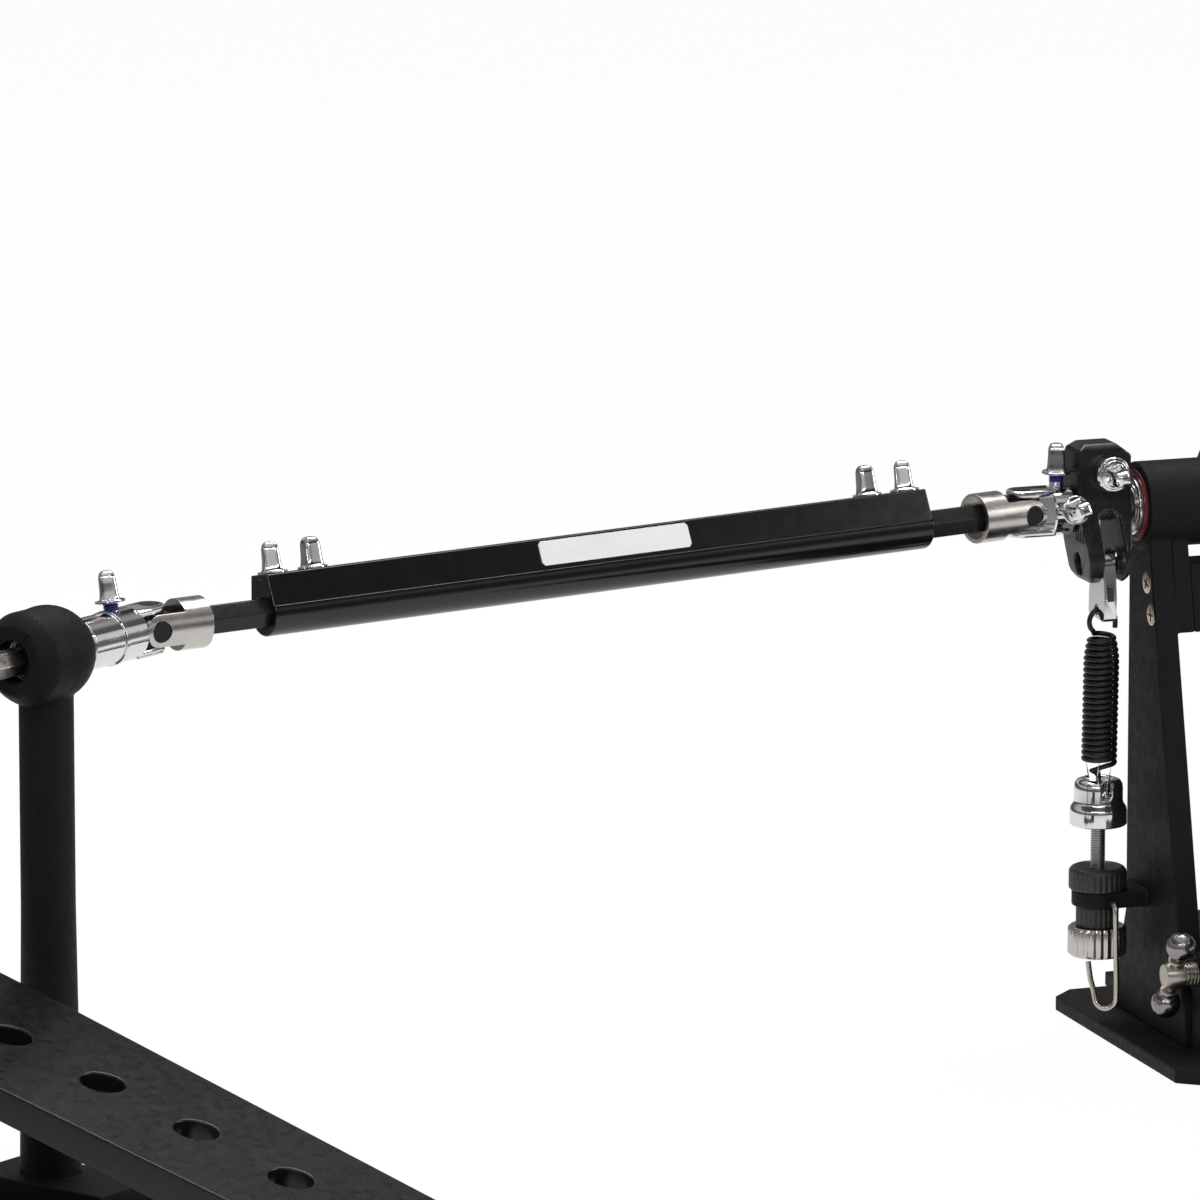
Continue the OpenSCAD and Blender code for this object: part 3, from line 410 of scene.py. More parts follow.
def swept(points, radius, sides=3):
    """A round wire through these points, given in millimetres, as a bmesh."""
    curve = bpy.data.curves.new("wire", "CURVE")
    curve.dimensions = "3D"
    curve.twist_mode = "MINIMUM"
    curve.bevel_depth = radius * MM
    curve.bevel_resolution = sides
    curve.use_fill_caps = True
    line = curve.splines.new("POLY")
    line.points.add(len(points) - 1)
    for point, (x, y, z) in zip(line.points, points):
        point.co = (x * MM, y * MM, z * MM, 1)
    thing = bpy.data.objects.new("wire", curve)
    bpy.context.scene.collection.objects.link(thing)
    bpy.context.view_layer.update()
    mesh = bpy.data.meshes.new_from_object(thing.evaluated_get(bpy.context.evaluated_depsgraph_get()))
    bm = bmesh.new()
    bm.from_mesh(mesh)
    bpy.data.objects.remove(thing)
    bpy.data.curves.remove(curve)
    bpy.data.meshes.remove(mesh)
    return tidied(bm)


def piece(name, bm, finishes, body, replaced=(), edge=0.0, sharp=38.0, segments=2, blend=None):
    """Turns a bmesh into a finished piece that rides on a body."""
    bm.normal_update()
    for face in bm.faces:
        face.smooth = True
    if not edge:
        for e in bm.edges:
            e.smooth = len(e.link_faces) != 2 or e.calc_face_angle(0) < radians(sharp)
    mesh = bpy.data.meshes.new(name)
    bm.to_mesh(mesh)
    bm.free()
    for key in finishes:
        mesh.materials.append(FINISH[key])
    made = bpy.data.objects.new(name, mesh)
    bpy.context.scene.collection.objects.link(made)
    if edge:
        bevel = made.modifiers.new("Edges", "BEVEL")
        bevel.width = edge * MM
        bevel.segments = segments
        bevel.limit_method = "ANGLE"
        bevel.angle_limit = radians(sharp)
        bevel.use_clamp_overlap = False
        bevel.miter_outer = "MITER_ARC"
        weighted = made.modifiers.new("Shading", "WEIGHTED_NORMAL")
        weighted.weight = 50
    if blend:
        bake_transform(made)
    else:
        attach(made, body)
    if replaced:
        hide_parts(*replaced)


def softened(name, cad, key, share, weld=0.002):
    """A copy of a CAD node, with flat facets joined and edges rounded, which stands for the node."""
    bm = bmesh.new()
    bm.from_mesh(frame["nodes"][cad].data)
    bmesh.ops.remove_doubles(bm, verts=bm.verts[:], dist=weld * MM)
    bmesh.ops.dissolve_limit(bm, angle_limit=radians(0.5), verts=bm.verts[:], edges=bm.edges[:])
    body = next(b for b, nodes in frame["record"]["behaviour"]["bodies"].items() if cad in nodes)
    piece(name, bm, [key], body, [cad], edge=share * sizes().edge, sharp=30)


def squared(bm, power):
    """Presses a turned shape square, with full faces and round corners."""
    for v in bm.verts:
        angle = atan2(v.co.y, v.co.x)
        k = (abs(cos(angle)) ** power + abs(sin(angle)) ** power) ** (-1 / power)
        v.co.x *= k
        v.co.y *= k
    return bm


def key_bolt(shank, patch=False, spin=0.0):
    """A square headed key bolt: flange seat at Z 0, shank below it, head above it."""
    bolt = turned([(0, 0), (FLANGE_R - 0.15, 0), (FLANGE_R, 0.12), (FLANGE_R, 0.62), (FLANGE_R - 0.15, 0.78),
                   (FLANGE_R - 0.9, 0.86), (FLANGE_R - 1.5, 1.1), (0, 1.4)], 56)
    half, top = KEY_W / 2, KEY_H + 1.6
    head = turned([(0, 0.7), (half + 0.55, 0.75), (half + 0.4, 1.3), (half + 0.22, 2.4), (half + 0.08, 4),
                   (half, 6), (half - 0.1, top - 2.4), (half - 0.28, top - 1.5), (half - 0.62, top - 0.75),
                   (half - 1.15, top - 0.26), (half - 1.8, top - 0.05), (0, top)], 64)
    joined(bolt, squared(head, 5), turn(spin, "Z"))
    thread = threaded(BOLT_R, shank + 0.3, sizes().thread_pitch)
    thread.normal_update()
    if patch:
        for face in thread.faces:
            if face.calc_center_median().z > (shank - 2.6) * MM:
                face.material_index = 1
    return joined(bolt, thread, place(0, 0, -shank))


def make_tube_bolts():
    tube = bmesh.new()
    for x, spin in TUBE_BOLTS:
        joined(tube, key_bolt(TUBE_TOP - 5.0, spin=spin), SHAFT @ place(TUBE_START + x, 0, TUBE_TOP))
    piece("tube_key_bolts", tube, ["chrome"], "drive_shaft", ["tube_bolts"])


def rocker_bolts(bm, side, hub_x):
    """Adds the rocker's clamping bolt with its ferrule, and the beater hub's bolt and set screw."""
    clamp = place(side * CLAMP_BOLT[0], CLAMP_BOLT[1], AXLE_H + CLAMP_BOLT[2]) @ turn(90, "X")
    ferrule = turned([(0, -1.6), (5.6, -1.6), (5.9, -1.3), (5.9, 2.2), (5.5, 2.7), (4.4, 2.9), (0, 2.9)], 48)
    joined(bm, ferrule, clamp)
    joined(bm, key_bolt(9.0, spin=15), clamp @ place(0, 0, BOLT_R))
    hub = hub_place(hub_x)
    joined(bm, key_bolt(3.2, spin=25), hub @ place(0, BEATER_OFF + 6.5, 3) @ turn(-90, "X"))
    set_screw = turned([(0, 0.9), (1.2, 0.9), (1.5, 0), (2.1, 0), (2.45, 0.4), (2.45, 6), (0, 6)], 24)
    joined(bm, set_screw, hub @ place(0, 0, -12.5))


def make_bolts():
    make_tube_bolts()
    aux = bmesh.new()
    joint = place(-JOINT_X, 0, AXLE_H)
    joined(aux, key_bolt(8.2, True, -19), joint @ place(TOP_BOLT_X, 0, YOKE_R + 4.2))
    rear = joint @ place(REAR_BOLT_X, 0, 0) @ turn(REAR_TILT, "X")
    joined(aux, key_bolt(9.7, True, 20), rear @ place(0, 0, YOKE_R + 6.2))
    rocker_bolts(aux, -1, AUX_HUB_X)
    main_bolts = bmesh.new()
    rocker_bolts(main_bolts, 1, MAIN_HUB_X)
    piece("main_key_bolts", main_bolts, ["chrome", "thread_lock"], "main_axle", ["main_axle_bolts"])
    piece("aux_key_bolts", aux, ["chrome", "thread_lock"], "aux_axle", ["aux_axle_bolts"])
    slave = bmesh.new()
    hub = place(*LEFT_JOINT, AXLE_H) @ turn(SLAVE_YAW, "Z")
    at = hub @ place(-SLAVE_BOLT_X, 0, 0) @ turn(-SLAVE_TILT, "X")
    joined(slave, key_bolt(6.1, True, -47), at @ place(0, 0, YOKE_R + 2.5))
    piece("slave_key_bolt", slave, ["chrome", "thread_lock"], "slave_axle", ["slave_axle_bolts"])


def spring_line():
    """The wire's path in the spring's own frame, bottom tang, coils, then the open hook."""
    coils, wire = sizes().spring_coils, sizes().spring_wire
    low, top = 4.8, SPRING_LEN - 23
    mean = 6.05 - wire / 2
    hook, hook_z = 4.6, top + 3.6
    path = [(0, 0, -3.4), (0, 0, -1), (0, 0, low - 3), (-0.2, 0, low - 2.2), (-1.0, 0, low - 1.2),
            (-2.6, -0.1, low - 0.4)]
    steps = 28 * coils
    for k in range(8, steps - 4):
        t = k / steps
        u = 1 - t
        r = mean * (0.72 + 0.28 * sin(radians(90 * u / 0.22)) if u < 0.22 else 1)
        a = radians(360 * coils * t + 180)
        path.append((r * cos(a), r * sin(a), low + wire + (top - low - 1.5 * wire) * t))
    path.append((-3.1, 0, top + 0.3))
    for a in range(208, -1, -8):
        path.append((hook * cos(radians(a)), 0, hook_z + hook * sin(radians(a))))
    path += [(hook, 0, hook_z - 1), (hook, 0, hook_z - 2.4)]
    return path


def make_springs():
    for side, word in ((-1, "left"), (1, "right")):
        at = spring_place(side)
        mirror = Matrix.Diagonal((-side, 1, 1, 1))
        bm = moved(swept(spring_line(), sizes().spring_wire / 2, 4), at @ mirror)
        start, end = at @ Vector((0, 0, 5.2 * MM)), at @ Vector((0, 0, (SPRING_LEN - 24) * MM))
        piece(word + "_spring_wire", bm, ["black_oxide"], None, [word + "_spring"], sharp=60,
              blend=(word + "_spring_body", word + "_hanger_body", tuple(start), tuple(end)))


def fluted(bm, low, high, least, depth, count, power=1):
    """Presses flutes into the outer wall between two heights."""
    for v in bm.verts:
        r = hypot(v.co.x, v.co.y)
        if low * MM - 1e-6 <= v.co.z <= high * MM + 1e-6 and r > least * MM:
            wave = 0.5 - 0.5 * cos(count * atan2(v.co.y, v.co.x))
            k = (r - depth * MM * wave ** power) / r
            v.co.x *= k
            v.co.y *= k


def spring_cap():
    """The cap below a spring, with a slot across its top and a throat for the wire's tang."""
    cap = turned([(0, 1.7), (5.8, 1.6), (CAP_R - 1, 1.1), (CAP_R - 0.2, 0), (CAP_R, -1.6), (CAP_R, -5.6),
                  (CAP_R + 0.3, -6.7), (CAP_RIM_R - 0.3, -7.9), (CAP_RIM_R, -9.2), (CAP_RIM_R, -13.6),
                  (CAP_RIM_R - 0.4, -14.2), (0, -14.2)], 72)
    cap = cut(cap, moved(box_shape(3.4, 30, 12), place(0, 0, 2.2)))
    throat = turned([(0, -6.5), (2.6, -6.5), (2.9, -5), (3.6, -1.5), (4.6, 1.9), (0, 1.9)], 32)
    return cut(cap, throat)


def tension_knob():
    knob = turned([(NUT_BORE, 0), (KNOB_R - 0.4, 0), (KNOB_R, 0.4), (KNOB_R, 3), (KNOB_R, 5.6),
                   (KNOB_R - 0.15, 6.4), (KNOB_R - 0.8, 7.2), (8.2, 7.55), (7.6, 7.6), (7.0, 7.2),
                   (3.4, 7.0), (NUT_BORE, 7.0)], 240, ring=True)
    fluted(knob, 0.3, 5.7, KNOB_R - 0.3, 0.35, sizes().knob_knurls, 2)
    return knob


def tension_spacer():
    spacer = turned([(BOLT_R, 0), (SPACER_R - 0.3, 0), (SPACER_R, 0.3), (SPACER_R, 3), (SPACER_R, 6.7),
                     (SPACER_R - 0.3, SPACER_H), (BOLT_R, SPACER_H)], 192, ring=True)
    fluted(spacer, 0.2, 6.8, 6.8, 0.4, 24, 2)
    return spacer


def tension_nut():
    nut = turned([(NUT_BORE, 0), (NUT_R - 1, 0), (NUT_R - 0.2, 0.6), (NUT_R, 1.2), (NUT_R, 5), (NUT_R, 8.8),
                  (NUT_R - 0.2, 9.4), (NUT_R - 1, NUT_H), (NUT_BORE, NUT_H)], 240, ring=True)
    fluted(nut, 0.5, 9.5, NUT_R - 0.5, 0.6, sizes().nut_flutes)
    return nut


def clip_line(nut_low):
    """The clip wire's path: down the nut's front, round its loop and back up behind the nut."""
    y = ANCHOR_Y - 11.4
    loop_z = BASE_T + CLIP_STAND
    path = [(1, ANCHOR_Y - 8.4, LUG_TOP - 3.0), (1, y + 1.5, LUG_TOP - 3.1), (1, y + 0.6, LUG_TOP - 3.5),
            (1, y, LUG_TOP - 4.8), (1, y, LUG_TOP - 7), (1.2, y, nut_low + 2), (1.5, y, nut_low - 6),
            (1.5, y, loop_z + 1)]
    path += [(-1.5 + 3 * cos(radians(a)), y + a / 45, loop_z - 3 * sin(radians(a)))
             for a in range(0, 181, 15)]
    path += [(-4.9, y + 4.6, loop_z + 3), (-5.6, y + 5.6, nut_low - 6.5), (-6, y + 6.1, nut_low - 3),
             (-6.2, y + 6.4, nut_low - 0.5)]
    return path


def make_tension_parts():
    nut_top = LUG_TOP - LUG_T - SPACER_H
    nut_low = nut_top - NUT_H
    for side, word in ((-1, "left"), (1, "right")):
        base = place(side * SPRING_X, ANCHOR_Y, 0)
        cap = moved(spring_cap(), base @ place(0, 0, ANCHOR_Z))
        piece(word + "_spring_bell", cap, ["chrome"], "main_frame", ["spring_caps"], edge=0.7,
              sharp=35, segments=3)
        rod = threaded(BOLT_R, ANCHOR_Z - 13.5 - ROD_LOW, sizes().thread_pitch, 24)
        moved(rod, base @ place(0, 0, ROD_LOW))
        piece(word + "_tension_rod", rod, ["zinc"], "main_frame")
        knob = moved(tension_knob(), base @ place(0, 0, LUG_TOP + 0.1))
        piece(word + "_tension_knob", knob, ["moulded_black"], word + "_knob_body",
              [word + "_knob"])
        spacer = moved(tension_spacer(), base @ place(0, 0, nut_top))
        piece(word + "_spacer", spacer, ["moulded_black"], "main_frame", ["spring_spacers"])
        nut = moved(tension_nut(), base @ place(0, 0, nut_low - 0.1))
        piece(word + "_tension_nut", nut, ["satin_nickel"], word + "_nut_body", [word + "_nut"])
        clip = moved(swept(clip_line(nut_low), CLIP_R, 3), base @ Matrix.Diagonal((-side, 1, 1, 1)))
        piece(word + "_nut_clip", clip, ["clip_wire"], "main_frame", ["clip_wires"], sharp=50)


def phillips():
    """A countersunk cross recess screw: its head's face at Z 0, facing +Z."""
    head = turned([(0, 0.05), (3.2, 0.02), (3.55, -0.1), (3.7, -0.3), (2.1, -1.9), (2.0, -2.2),
                   (0, -2.2)], 40)
    for angle in (45, 135):
        blade = moved(box_shape(0.9, 4.6, 1.6), turn(angle, "Z") @ place(0, 0, -0.2))
        head = cut(head, blade)
    return joined(head, turned([(0, -20), (1.95, -20), (1.95, -2), (0, -2)], 16))


def make_screws():
    bm = bmesh.new()
    for side in (-1, 1):
        for y, z, spin in ((-7.4, -25.1, 20), (-11.5, -35.2, 50)):
            at = place(side * (TOWER_X - 1), y, AXLE_H + z) @ turn(90 * side, "Y") @ turn(spin, "Z")
            joined(bm, phillips(), at)
    piece("tower_screws", bm, ["tinted_screw"], "main_frame", ["bridge_screws"], sharp=25)
    for word, x, side in (("left_end", TUBE_START, -1), ("right_end", TUBE_START + TUBE_LEN, 1)):
        screw = turned([(0, -2.4), (1.15, -2.4), (1.15, -0.2), (0.9, 0.02), (0.5, 0.0), (0.4, -0.5),
                        (0, -0.5)], 20)
        at = SHAFT @ place(x, 0, TUBE_TOP - 2.8) @ turn(90 * side, "Y")
        piece(word + "_screw", moved(screw, at), ["black_oxide"], "drive_shaft", sharp=25)


def bearing(face, bore=6.55, outer=9.8, width=8.0):
    """A ball bearing whose outer face is at Z 0, facing +Z."""
    ring = turned([(bore, 0), (bore + 1.1, 0), (bore + 1.2, -0.25), (outer - 1.3, -0.25), (outer - 1.2, 0),
                   (outer - 0.3, 0), (outer, -0.3), (outer, -width + 0.3), (outer - 0.3, -width),
                   (bore, -width)], 72, ring=True)
    return moved(ring, face)


def make_bearings():
    races, seals = bmesh.new(), bmesh.new()
    for side in (-1, 1):
        at = place(0, 0, AXLE_H) @ turn(90 * side, "Y")
        joined(races, bearing(at @ place(0, 0, TOWER_X + 2.3)))
        joined(races, bearing(at @ place(0, 0, BARREL_IN) @ turn(180, "X")))
        seal = turned([(9.85, 0), (11.6, 0), (12, 0.25), (12, 0.6), (11.7, 0.8), (10.2, 0.8),
                       (9.85, 0.6)], 72, ring=True)
        joined(seals, moved(seal, at @ place(0, 0, TOWER_X)))
    piece("tower_bearings", races, ["chrome"], "main_frame", ["bearing_races"])
    piece("bearing_rings", seals, ["red_seal"], "main_frame", ["bearing_seals"])


def make_beaters():
    for word, x, body in (("main", MAIN_HUB_X, "main_beater"), ("aux", AUX_HUB_X, "aux_beater")):
        at = hub_place(x) @ place(0, BEATER_OFF, 0)
        rod = turned([(0, -13), (BEATER_ROD_R - 0.55, -13), (BEATER_ROD_R, -12.5),
                      (BEATER_ROD_R, BEATER_LEN + 11.2), (BEATER_ROD_R - 0.45, BEATER_LEN + 11.9),
                      (0, BEATER_LEN + 12)], 32)
        piece(word + "_beater_shaft", moved(rod, at), ["chrome"], body, [word + "_beater_rod"])
        head_at = at @ place(0, 0, BEATER_LEN) @ turn(-90, "X")
        felt = turned([(0, -21), (14.5, -21), (17.2, -20.4), (19.2, -18.8), (20.6, -16.2), (FELT_R, -13),
                       (FELT_R, 16), (20.5, 19), (18.6, 21.6), (15.5, 22.8), (0, 23)], 96)
        piece(word + "_beater_felt", moved(felt, head_at), ["beater_felt"], body,
              [word + "_beater_head"])


def make_clamp_screw():
    at = place(0, *SCREW_AT)
    handle = at @ place(-SCREW_X, 0, 0) @ turn(HANDLE_TILT, "X")
    softened("clamp_jaw", "clamp_lever", "satin_casting", 1.0)
    bm = bmesh.new()
    outwards = turn(-90, "Y")
    joined(bm, threaded(4.0, 21.0, 1.25, 28), at @ place(-46.4, 0, 0) @ outwards)
    collar = turned([(0, -3.9), (3.4, -3.9), (4.6, -2.9), (4.6, 2.2), (3.8, 3.4), (0, 3.4)], 32)
    joined(bm, collar, at @ place(-SCREW_X, 0, 0) @ outwards)
    cone = turned([(0, -5.4), (0.6, -5.4), (6, 0), (6, 0.6), (5.4, 0.9), (0, 0.9)], 48)
    joined(bm, cone, at @ place(-45.7, 0, 0) @ outwards)
    bar = turned([(0, -BALL_REACH), (1.7, -BALL_REACH), (1.7, BALL_REACH), (0, BALL_REACH)], 24)
    joined(bm, bar, handle)
    balls = bmesh.new()
    for up in (1, -1):
        ball = bmesh.new()
        bmesh.ops.create_icosphere(ball, subdivisions=5, radius=BALL_R * MM)
        joined(balls, ball, handle @ place(0, 0, up * BALL_REACH))
        neck = turned([(0, -0.8), (2.5, -0.8), (3.1, -0.4), (3.1, 0.4), (2.5, 0.8), (0, 0.8)], 32)
        joined(bm, neck, handle @ place(0, 0, up * 6.8))
    piece("clamp_spindle", bm, ["machined_steel"], "clamp_screw_body", ["clamp_screw"])
    piece("clamp_handle_balls", balls, ["hammered_steel"], "clamp_screw_body")


def fork(length, ring=False):
    """A chrome yoke: joint centre at the origin, hub along +X, an arm above and one below."""
    profile = [(0, HUB_START), (YOKE_R - 0.5, HUB_START), (YOKE_R, HUB_START + 0.5)]
    if ring:
        profile += [(YOKE_R, RING_X), (YOKE_R + 0.5, RING_X + 0.3), (YOKE_R + 0.5, RING_X + RING_W - 0.3),
                    (YOKE_R, RING_X + RING_W)]
    profile += [(YOKE_R, length - 0.6), (YOKE_R - 0.6, length), (0, length)]
    bm = moved(turned(profile, 96), turn(90, "Y"))
    half, low, high = 4.9, 5.2, 7.85
    outline = [(half * cos(radians(a)), half * sin(radians(a))) for a in range(90, 271, 6)]
    outline += [(HUB_START + 1.5, -half), (HUB_START + 1.5, half)]
    for up in (1, -1):
        arm = bevelled(slab(outline, high - low), 0.75, 4, lambda e: e.calc_face_angle(0) > radians(60))
        joined(bm, arm, Matrix.Diagonal((1, 1, up, 1)) @ place(0, 0, low))
    return bm


def make_forks():
    aux = moved(fork(AUX_YOKE_LEN), place(-JOINT_X, 0, AXLE_H))
    piece("aux_chrome_yoke", aux, ["chrome"], "aux_axle", ["aux_yoke"])
    slave = moved(fork(SLAVE_YOKE_LEN, True), place(*LEFT_JOINT, AXLE_H) @ turn(SLAVE_YAW + 180, "Z"))
    piece("slave_chrome_yoke", slave, ["chrome"], "slave_axle", ["slave_axle_yoke"])


def make_trim():
    """The fine fins on the rockers and the dark slots in the hangers' rear edges."""
    for side, word, rocker, hanger in ((-1, "left", "aux_axle", "left_hanger_body"),
                                       (1, "right", "main_axle", "right_hanger_body")):
        fins = bmesh.new()
        for k in range(4):
            fin = bevelled(box_shape(0.5, 0.55, 4.4), 0.2, 2, lambda e: True)
            at = place(side * (SPRING_X + 9.95), -5.6 - 2.1 * k, AXLE_H - 7.4)
            joined(fins, fin, at @ turn(-10 + 4 * k, "X"))
        piece(word + "_rocker_fins", fins, ["satin_casting"], rocker)
        # painted shade: a thin dark inlay stands for the shade inside the hanger's rear slot
        dark = bevelled(box_shape(1.9, 0.3, 6.6), 0.1, 1, lambda e: True)
        at = spring_place(side) @ place(0, -6.75, SPRING_LEN - 9.5)
        piece(word + "_hanger_slot_painted_shade", moved(dark, at), ["moulded_black"], hanger)


# the pieces that stand for one node each: name, node, finish and share of the edge size
SOFT = (
    ("left_tower_coat", "left_tower", "powder_coat", 1.2),
    ("right_tower_coat", "right_tower", "powder_coat", 1.2),
    ("bridge_coat", "tower_bridge", "powder_coat", 1),
    ("main_base_coat", "main_base", "powder_coat", 1.2),
    ("slave_base_coat", "slave_base", "powder_coat", 1.2),
    ("slave_post_coat", "slave_post", "powder_coat", 1.2),
    ("main_heel_cast", "main_heel", "satin_casting", 1.6),
    ("slave_heel_cast", "slave_heel", "satin_casting", 1.6),
    ("main_board_cast", "main_board", "satin_casting", 1.6),
    ("slave_board_cast", "slave_board", "satin_casting", 1.6),
    ("left_rocker_cast", "left_rocker", "satin_casting", 1.4),
    ("right_rocker_cast", "right_rocker", "satin_casting", 1.4),
    ("main_hub_cast", "main_hub", "satin_casting", 1.2),
    ("aux_hub_cast", "aux_hub", "satin_casting", 1.2),
    ("left_hanger_plate", "left_hanger", "chrome", 0),
    ("right_hanger_plate", "right_hanger", "chrome", 0),
    ("drive_tube_shell", "drive_tube", "gloss_anodised", 0.9),
    ("label_sheet", "label_plate", "label_silver", 0.24),
    ("left_hex_rod", "left_rod", "black_oxide", 0.6),
    ("right_hex_rod", "right_rod", "black_oxide", 0.6),
    ("left_satin_yoke", "left_yoke", "satin_nickel", 0),
    ("right_satin_yoke", "right_yoke", "satin_nickel", 0),
    ("left_cross_block", "left_cross", "black_oxide", 0),
    ("right_cross_block", "right_cross", "black_oxide", 0),
    ("main_link_bar", "main_link", "link_aluminium", 1),
    ("slave_link_bar", "slave_link", "link_aluminium", 1),
    ("main_clevis", "main_toe_clevis", "chrome", 0.8),
    ("slave_clevis", "slave_toe_clevis", "chrome", 0.8),
    ("main_hex_axle", "main_axle_bar", "machined_steel", 0.5),
    ("aux_hex_axle", "aux_axle_bar", "machined_steel", 0.5),
    ("slave_hex_axle", "slave_axle_bar", "machined_steel", 0.5),
)
KEPT = {"main_heel_pin": "machined_steel", "slave_heel_pin": "machined_steel", "slave_races": "chrome"}


def make_castings():
    for name, cad, key, share in SOFT:
        softened(name, cad, key, share)
    for pedal in ("main", "slave"):
        softened(pedal + "_arm_cast", pedal + "_arm", "satin_casting", 0.6, weld=0.3)
    for cad, key in KEPT.items():
        frame["nodes"][cad].data.materials.clear()
        frame["nodes"][cad].data.materials.append(FINISH[key])


def area_lamp(name, at, aim, size, energy, in_chrome=True):
    data = bpy.data.lights.new(name, "AREA")
    data.shape = "RECTANGLE"
    data.size, data.size_y = size
    data.energy = energy
    lamp = bpy.data.objects.new(name, data)
    lamp.location = at
    lamp.rotation_euler = (Vector(aim) - Vector(at)).to_track_quat("-Z", "Y").to_euler()
    lamp.visible_glossy = in_chrome
    bpy.context.scene.collection.objects.link(lamp)


# the floor: its half width and how far it lies below the part, in metres, and its own share of pure white
FLOOR_SIZE = 30
FLOOR_DROP = 0.0002
FLOOR_WHITE = 0.955
# a reflection shows a bright table from its first radius to its second, in metres, between two grey levels
TABLE = (0.55, 1.0, 0.85, 0.1)
TABLE_WHITE = 0.9
SKY_LIGHT = 0.42
# how bright the studio looks in a reflection, by the height and by the side that it lies on
ROOM_HEIGHT = ((-1, 0.6), (0.0, 0.12), (0.14, 0.16), (0.2, 0.6), (0.4, 0.7), (0.46, 0.1), (0.6, 0.12),
               (0.68, 0.6), (1, 0.9))
ROOM_WIDTH = ((-1, 1.0), (-0.55, 0.5), (-0.2, 1.1), (0.15, 0.8), (0.4, 0.3), (0.7, 0.9), (1, 1.2))


def maths(tree, kind, first, second, third=None):
    """A maths node; each term is a number or another node's output."""
    made = tree.nodes.new("ShaderNodeMath")
    made.operation = kind
    for socket, term in zip(made.inputs, (first, second, third)):
        if isinstance(term, bpy.types.NodeSocket):
            tree.links.new(term, socket)
        elif term is not None:
            socket.default_value = term
    return made.outputs[0]


def banded(tree, value, stops):
    """Grey levels along a value from -1 to 1."""
    made = tree.nodes.new("ShaderNodeValToRGB")
    ramp = made.color_ramp
    ramp.elements.remove(ramp.elements[1])
    ramp.elements[0].color = (stops[0][1],) * 3 + (1,)
    for at, level in stops[1:]:
        ramp.elements.new((at + 1) / 2).color = (level, level, level, 1)
    tree.links.new(maths(tree, "MULTIPLY_ADD", value, 0.5, 0.5), made.inputs["Fac"])
    return made.outputs["Color"]


def make_floor():
    bm = bmesh.new()
    bmesh.ops.create_grid(bm, x_segments=1, y_segments=1, size=FLOOR_SIZE)
    moved(bm, Matrix.Translation((0, 0, -FLOOR_DROP)))
    mesh = bpy.data.meshes.new("floor")
    bm.to_mesh(mesh)
    bm.free()
    floor = bpy.data.objects.new("floor", mesh)
    bpy.context.scene.collection.objects.link(floor)
    made = bpy.data.materials.new("pale_floor")
    made.use_nodes = True
    tree = made.node_tree
    tree.nodes.clear()
    out = tree.nodes.new("ShaderNodeOutputMaterial")
    path = tree.nodes.new("ShaderNodeLightPath")
    diffuse = node(tree, "ShaderNodeBsdfDiffuse", Color=(0.86, 0.86, 0.86, 1))
    white = node(tree, "ShaderNodeEmission", Color=(1, 1, 1, 1))
    reach = node(tree, "ShaderNodeVectorMath")
    reach.operation = "LENGTH"
    tree.links.new(node(tree, "ShaderNodeTexCoord").outputs["Object"], reach.inputs[0])
    fade = node(tree, "ShaderNodeMapRange", From_Min=TABLE[0], From_Max=TABLE[1], To_Min=TABLE[2],
                To_Max=TABLE[3])
    tree.links.new(reach.outputs["Value"], fade.inputs["Value"])
    tree.links.new(maths(tree, "MAXIMUM", fade.outputs["Result"], path.outputs["Is Camera Ray"]),
                   white.inputs["Strength"])
    seen = maths(tree, "MULTIPLY", path.outputs["Is Camera Ray"], FLOOR_WHITE)
    share = maths(tree, "MULTIPLY_ADD", path.outputs["Is Glossy Ray"], TABLE_WHITE, seen)
    mix = tree.nodes.new("ShaderNodeMixShader")
    tree.links.new(share, mix.inputs["Fac"])
    tree.links.new(diffuse.outputs[0], mix.inputs[1])
    tree.links.new(white.outputs[0], mix.inputs[2])
    tree.links.new(mix.outputs[0], out.inputs["Surface"])
    mesh.materials.append(made)


def make_world():
    """A white studio: plain light for dull finishes, and a room of grey bands for the chrome."""
    world = bpy.data.worlds.new("studio")
    bpy.context.scene.world = world
    world.use_nodes = True
    tree = world.node_tree
    tree.nodes.clear()
    out = tree.nodes.new("ShaderNodeOutputWorld")
    path = tree.nodes.new("ShaderNodeLightPath")
    seen = node(tree, "ShaderNodeBackground", Color=(1, 1, 1, 1), Strength=1.0)
    lit = node(tree, "ShaderNodeBackground", Color=(1, 1, 1, 1), Strength=SKY_LIGHT)
    room = tree.nodes.new("ShaderNodeBackground")
    across = node(tree, "ShaderNodeSeparateXYZ")
    tree.links.new(node(tree, "ShaderNodeTexCoord").outputs["Generated"], across.inputs[0])
    height = banded(tree, across.outputs["Z"], ROOM_HEIGHT)
    width = banded(tree, across.outputs["X"], ROOM_WIDTH)
    tree.links.new(maths(tree, "MULTIPLY", height, width), room.inputs["Strength"])
    either = maths(tree, "MAXIMUM", path.outputs["Is Camera Ray"], path.outputs["Is Transmission Ray"])
    inner = tree.nodes.new("ShaderNodeMixShader")
    tree.links.new(path.outputs["Is Glossy Ray"], inner.inputs["Fac"])
    tree.links.new(lit.outputs[0], inner.inputs[1])
    tree.links.new(room.outputs[0], inner.inputs[2])
    mix = tree.nodes.new("ShaderNodeMixShader")
    tree.links.new(either, mix.inputs["Fac"])
    tree.links.new(inner.outputs[0], mix.inputs[1])
    tree.links.new(seen.outputs[0], mix.inputs[2])
    tree.links.new(mix.outputs[0], out.inputs["Surface"])


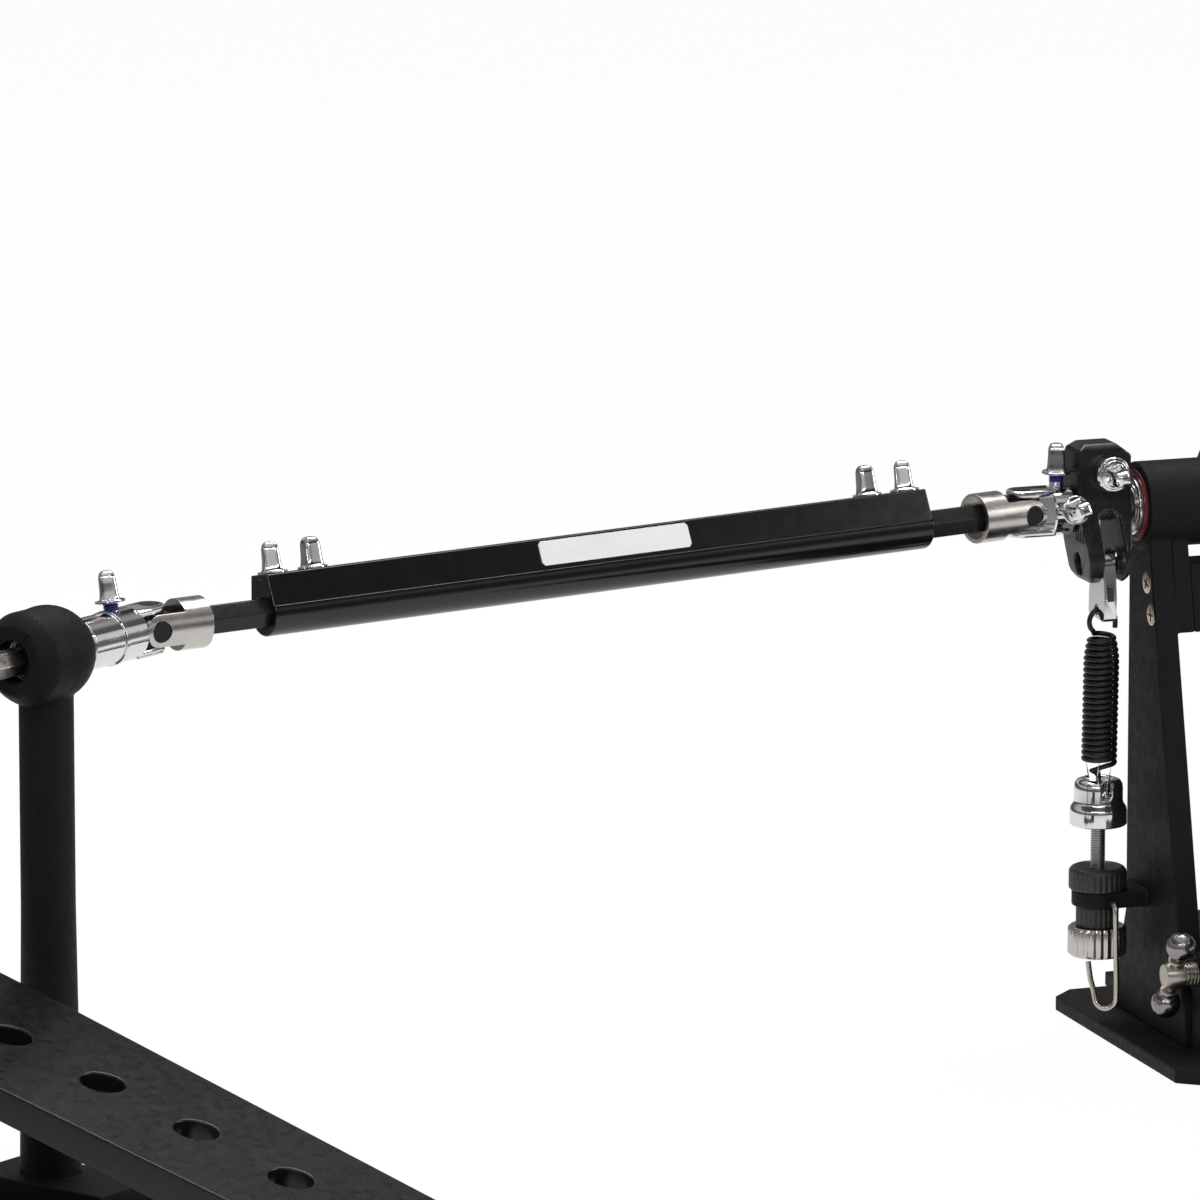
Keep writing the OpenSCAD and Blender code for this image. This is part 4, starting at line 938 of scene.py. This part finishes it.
def make_lamps():
    area_lamp("key", (-1.1, -1.3, 1.5), (-0.2, 0, 0.15), (0.7, 0.7), 15, False)
    area_lamp("top", (0.1, 0.4, 1.6), (-0.1, 0, 0.1), (1.2, 0.6), 18)
    area_lamp("side", (1.5, -0.7, 0.7), (-0.1, 0, 0.15), (0.5, 0.8), 9)
    area_lamp("strip", (-0.9, -1.9, 1.25), (-0.25, -0.05, 0.18), (2.4, 0.07), 9)


def make_camera():
    """The photograph's camera, which sees the right joint at its pixel in the photograph."""
    azimuth, elevation = radians(AZIMUTH), radians(ELEVATION)
    joint = Vector((-JOINT_X * MM, 0, AXLE_H * MM))
    focal = PIXELS_PER_MM * DISTANCE / MM
    ahead = Vector((-sin(azimuth) * cos(elevation), cos(azimuth) * cos(elevation), -sin(elevation)))
    right = Vector((cos(azimuth), sin(azimuth), 0))
    up = right.cross(ahead)
    across, down = (pixel - PHOTO_SIZE / 2 for pixel in JOINT_PIXEL)
    data = bpy.data.cameras.new("camera")
    data.sensor_width = SENSOR
    data.lens = SENSOR * focal / PHOTO_SIZE
    data.clip_end = 100
    camera = bpy.data.objects.new("camera", data)
    camera.location = (joint - ahead * DISTANCE - right * across * DISTANCE / focal
                       + up * down * DISTANCE / focal)
    camera.rotation_euler = (pi / 2 - elevation, 0, azimuth)
    bpy.context.scene.collection.objects.link(camera)
    bpy.context.scene.camera = camera


def make_stage():
    scene = bpy.context.scene
    scene.view_settings.view_transform = "Standard"
    scene.render.film_transparent = False
    make_floor()
    make_world()
    make_lamps()
    make_camera()


def operator(word, label, about, work):
    """An operator class that runs one making step."""

    def execute(self, context):
        work()
        return {"FINISHED"}

    return type("PEDAL_OT_" + word, (bpy.types.Operator,), {
        "__doc__": about, "bl_idname": "pedal." + word, "bl_label": label,
        "bl_options": {"REGISTER", "UNDO"}, "execute": execute})


STEPS = (
    operator("stage", "Stage and camera", "Adds the floor, lamps, world and camera", make_stage),
    operator("finishes", "Finishes", "Makes the finishes", make_finishes),
    operator("castings", "Castings and machined parts",
             "Rounds and finishes the castings, rods and yokes", make_castings),
    operator("bolts", "Key bolts", "Makes the square headed key bolts", make_bolts),
    operator("screws", "Screws", "Makes the cross recess screws", make_screws),
    operator("bearings", "Bearings", "Makes the bearings and their rings", make_bearings),
    operator("forks", "Chrome yokes", "Makes the chrome yokes of the universal joints", make_forks),
    # the hangers' dark inlays are painted shade standing for their slots
    operator("trim", "Trim", "Makes the rockers' fins and the hangers' slots", make_trim),
    operator("springs", "Springs", "Makes the return springs", make_springs),
    operator("tension", "Spring tension parts", "Makes the caps, rods, knobs, nuts and clips",
             make_tension_parts),
    operator("beaters", "Beaters", "Makes the beaters", make_beaters),
    operator("clamp", "Hoop clamp", "Makes the hoop clamp and its screw", make_clamp_screw),
)


class PEDAL_PT_panel(bpy.types.Panel):
    """The pedal's making steps"""

    bl_label = "Double pedal"
    bl_space_type = "VIEW_3D"
    bl_region_type = "UI"
    bl_category = "Pedal"

    def draw(self, context):
        for step in STEPS:
            self.layout.operator(step.bl_idname)
        for group in (context.scene.pedal_sizes, context.scene.pedal_colours):
            for prop in group.bl_rna.properties:
                if not prop.is_readonly and prop.identifier != "name":
                    self.layout.prop(group, prop.identifier)


CLASSES = (PedalSizes, PedalColours, *STEPS, PEDAL_PT_panel)


def register():
    for cls in CLASSES:
        bpy.utils.register_class(cls)
    bpy.types.Scene.pedal_sizes = PointerProperty(type=PedalSizes)
    bpy.types.Scene.pedal_colours = PointerProperty(type=PedalColours)


def unregister():
    del bpy.types.Scene.pedal_sizes
    del bpy.types.Scene.pedal_colours
    for cls in reversed(CLASSES):
        bpy.utils.unregister_class(cls)


def main():
    register()
    for step in STEPS:
        getattr(bpy.ops.pedal, step.bl_idname.split(".")[1])()


if __name__ == "__main__":
    main()
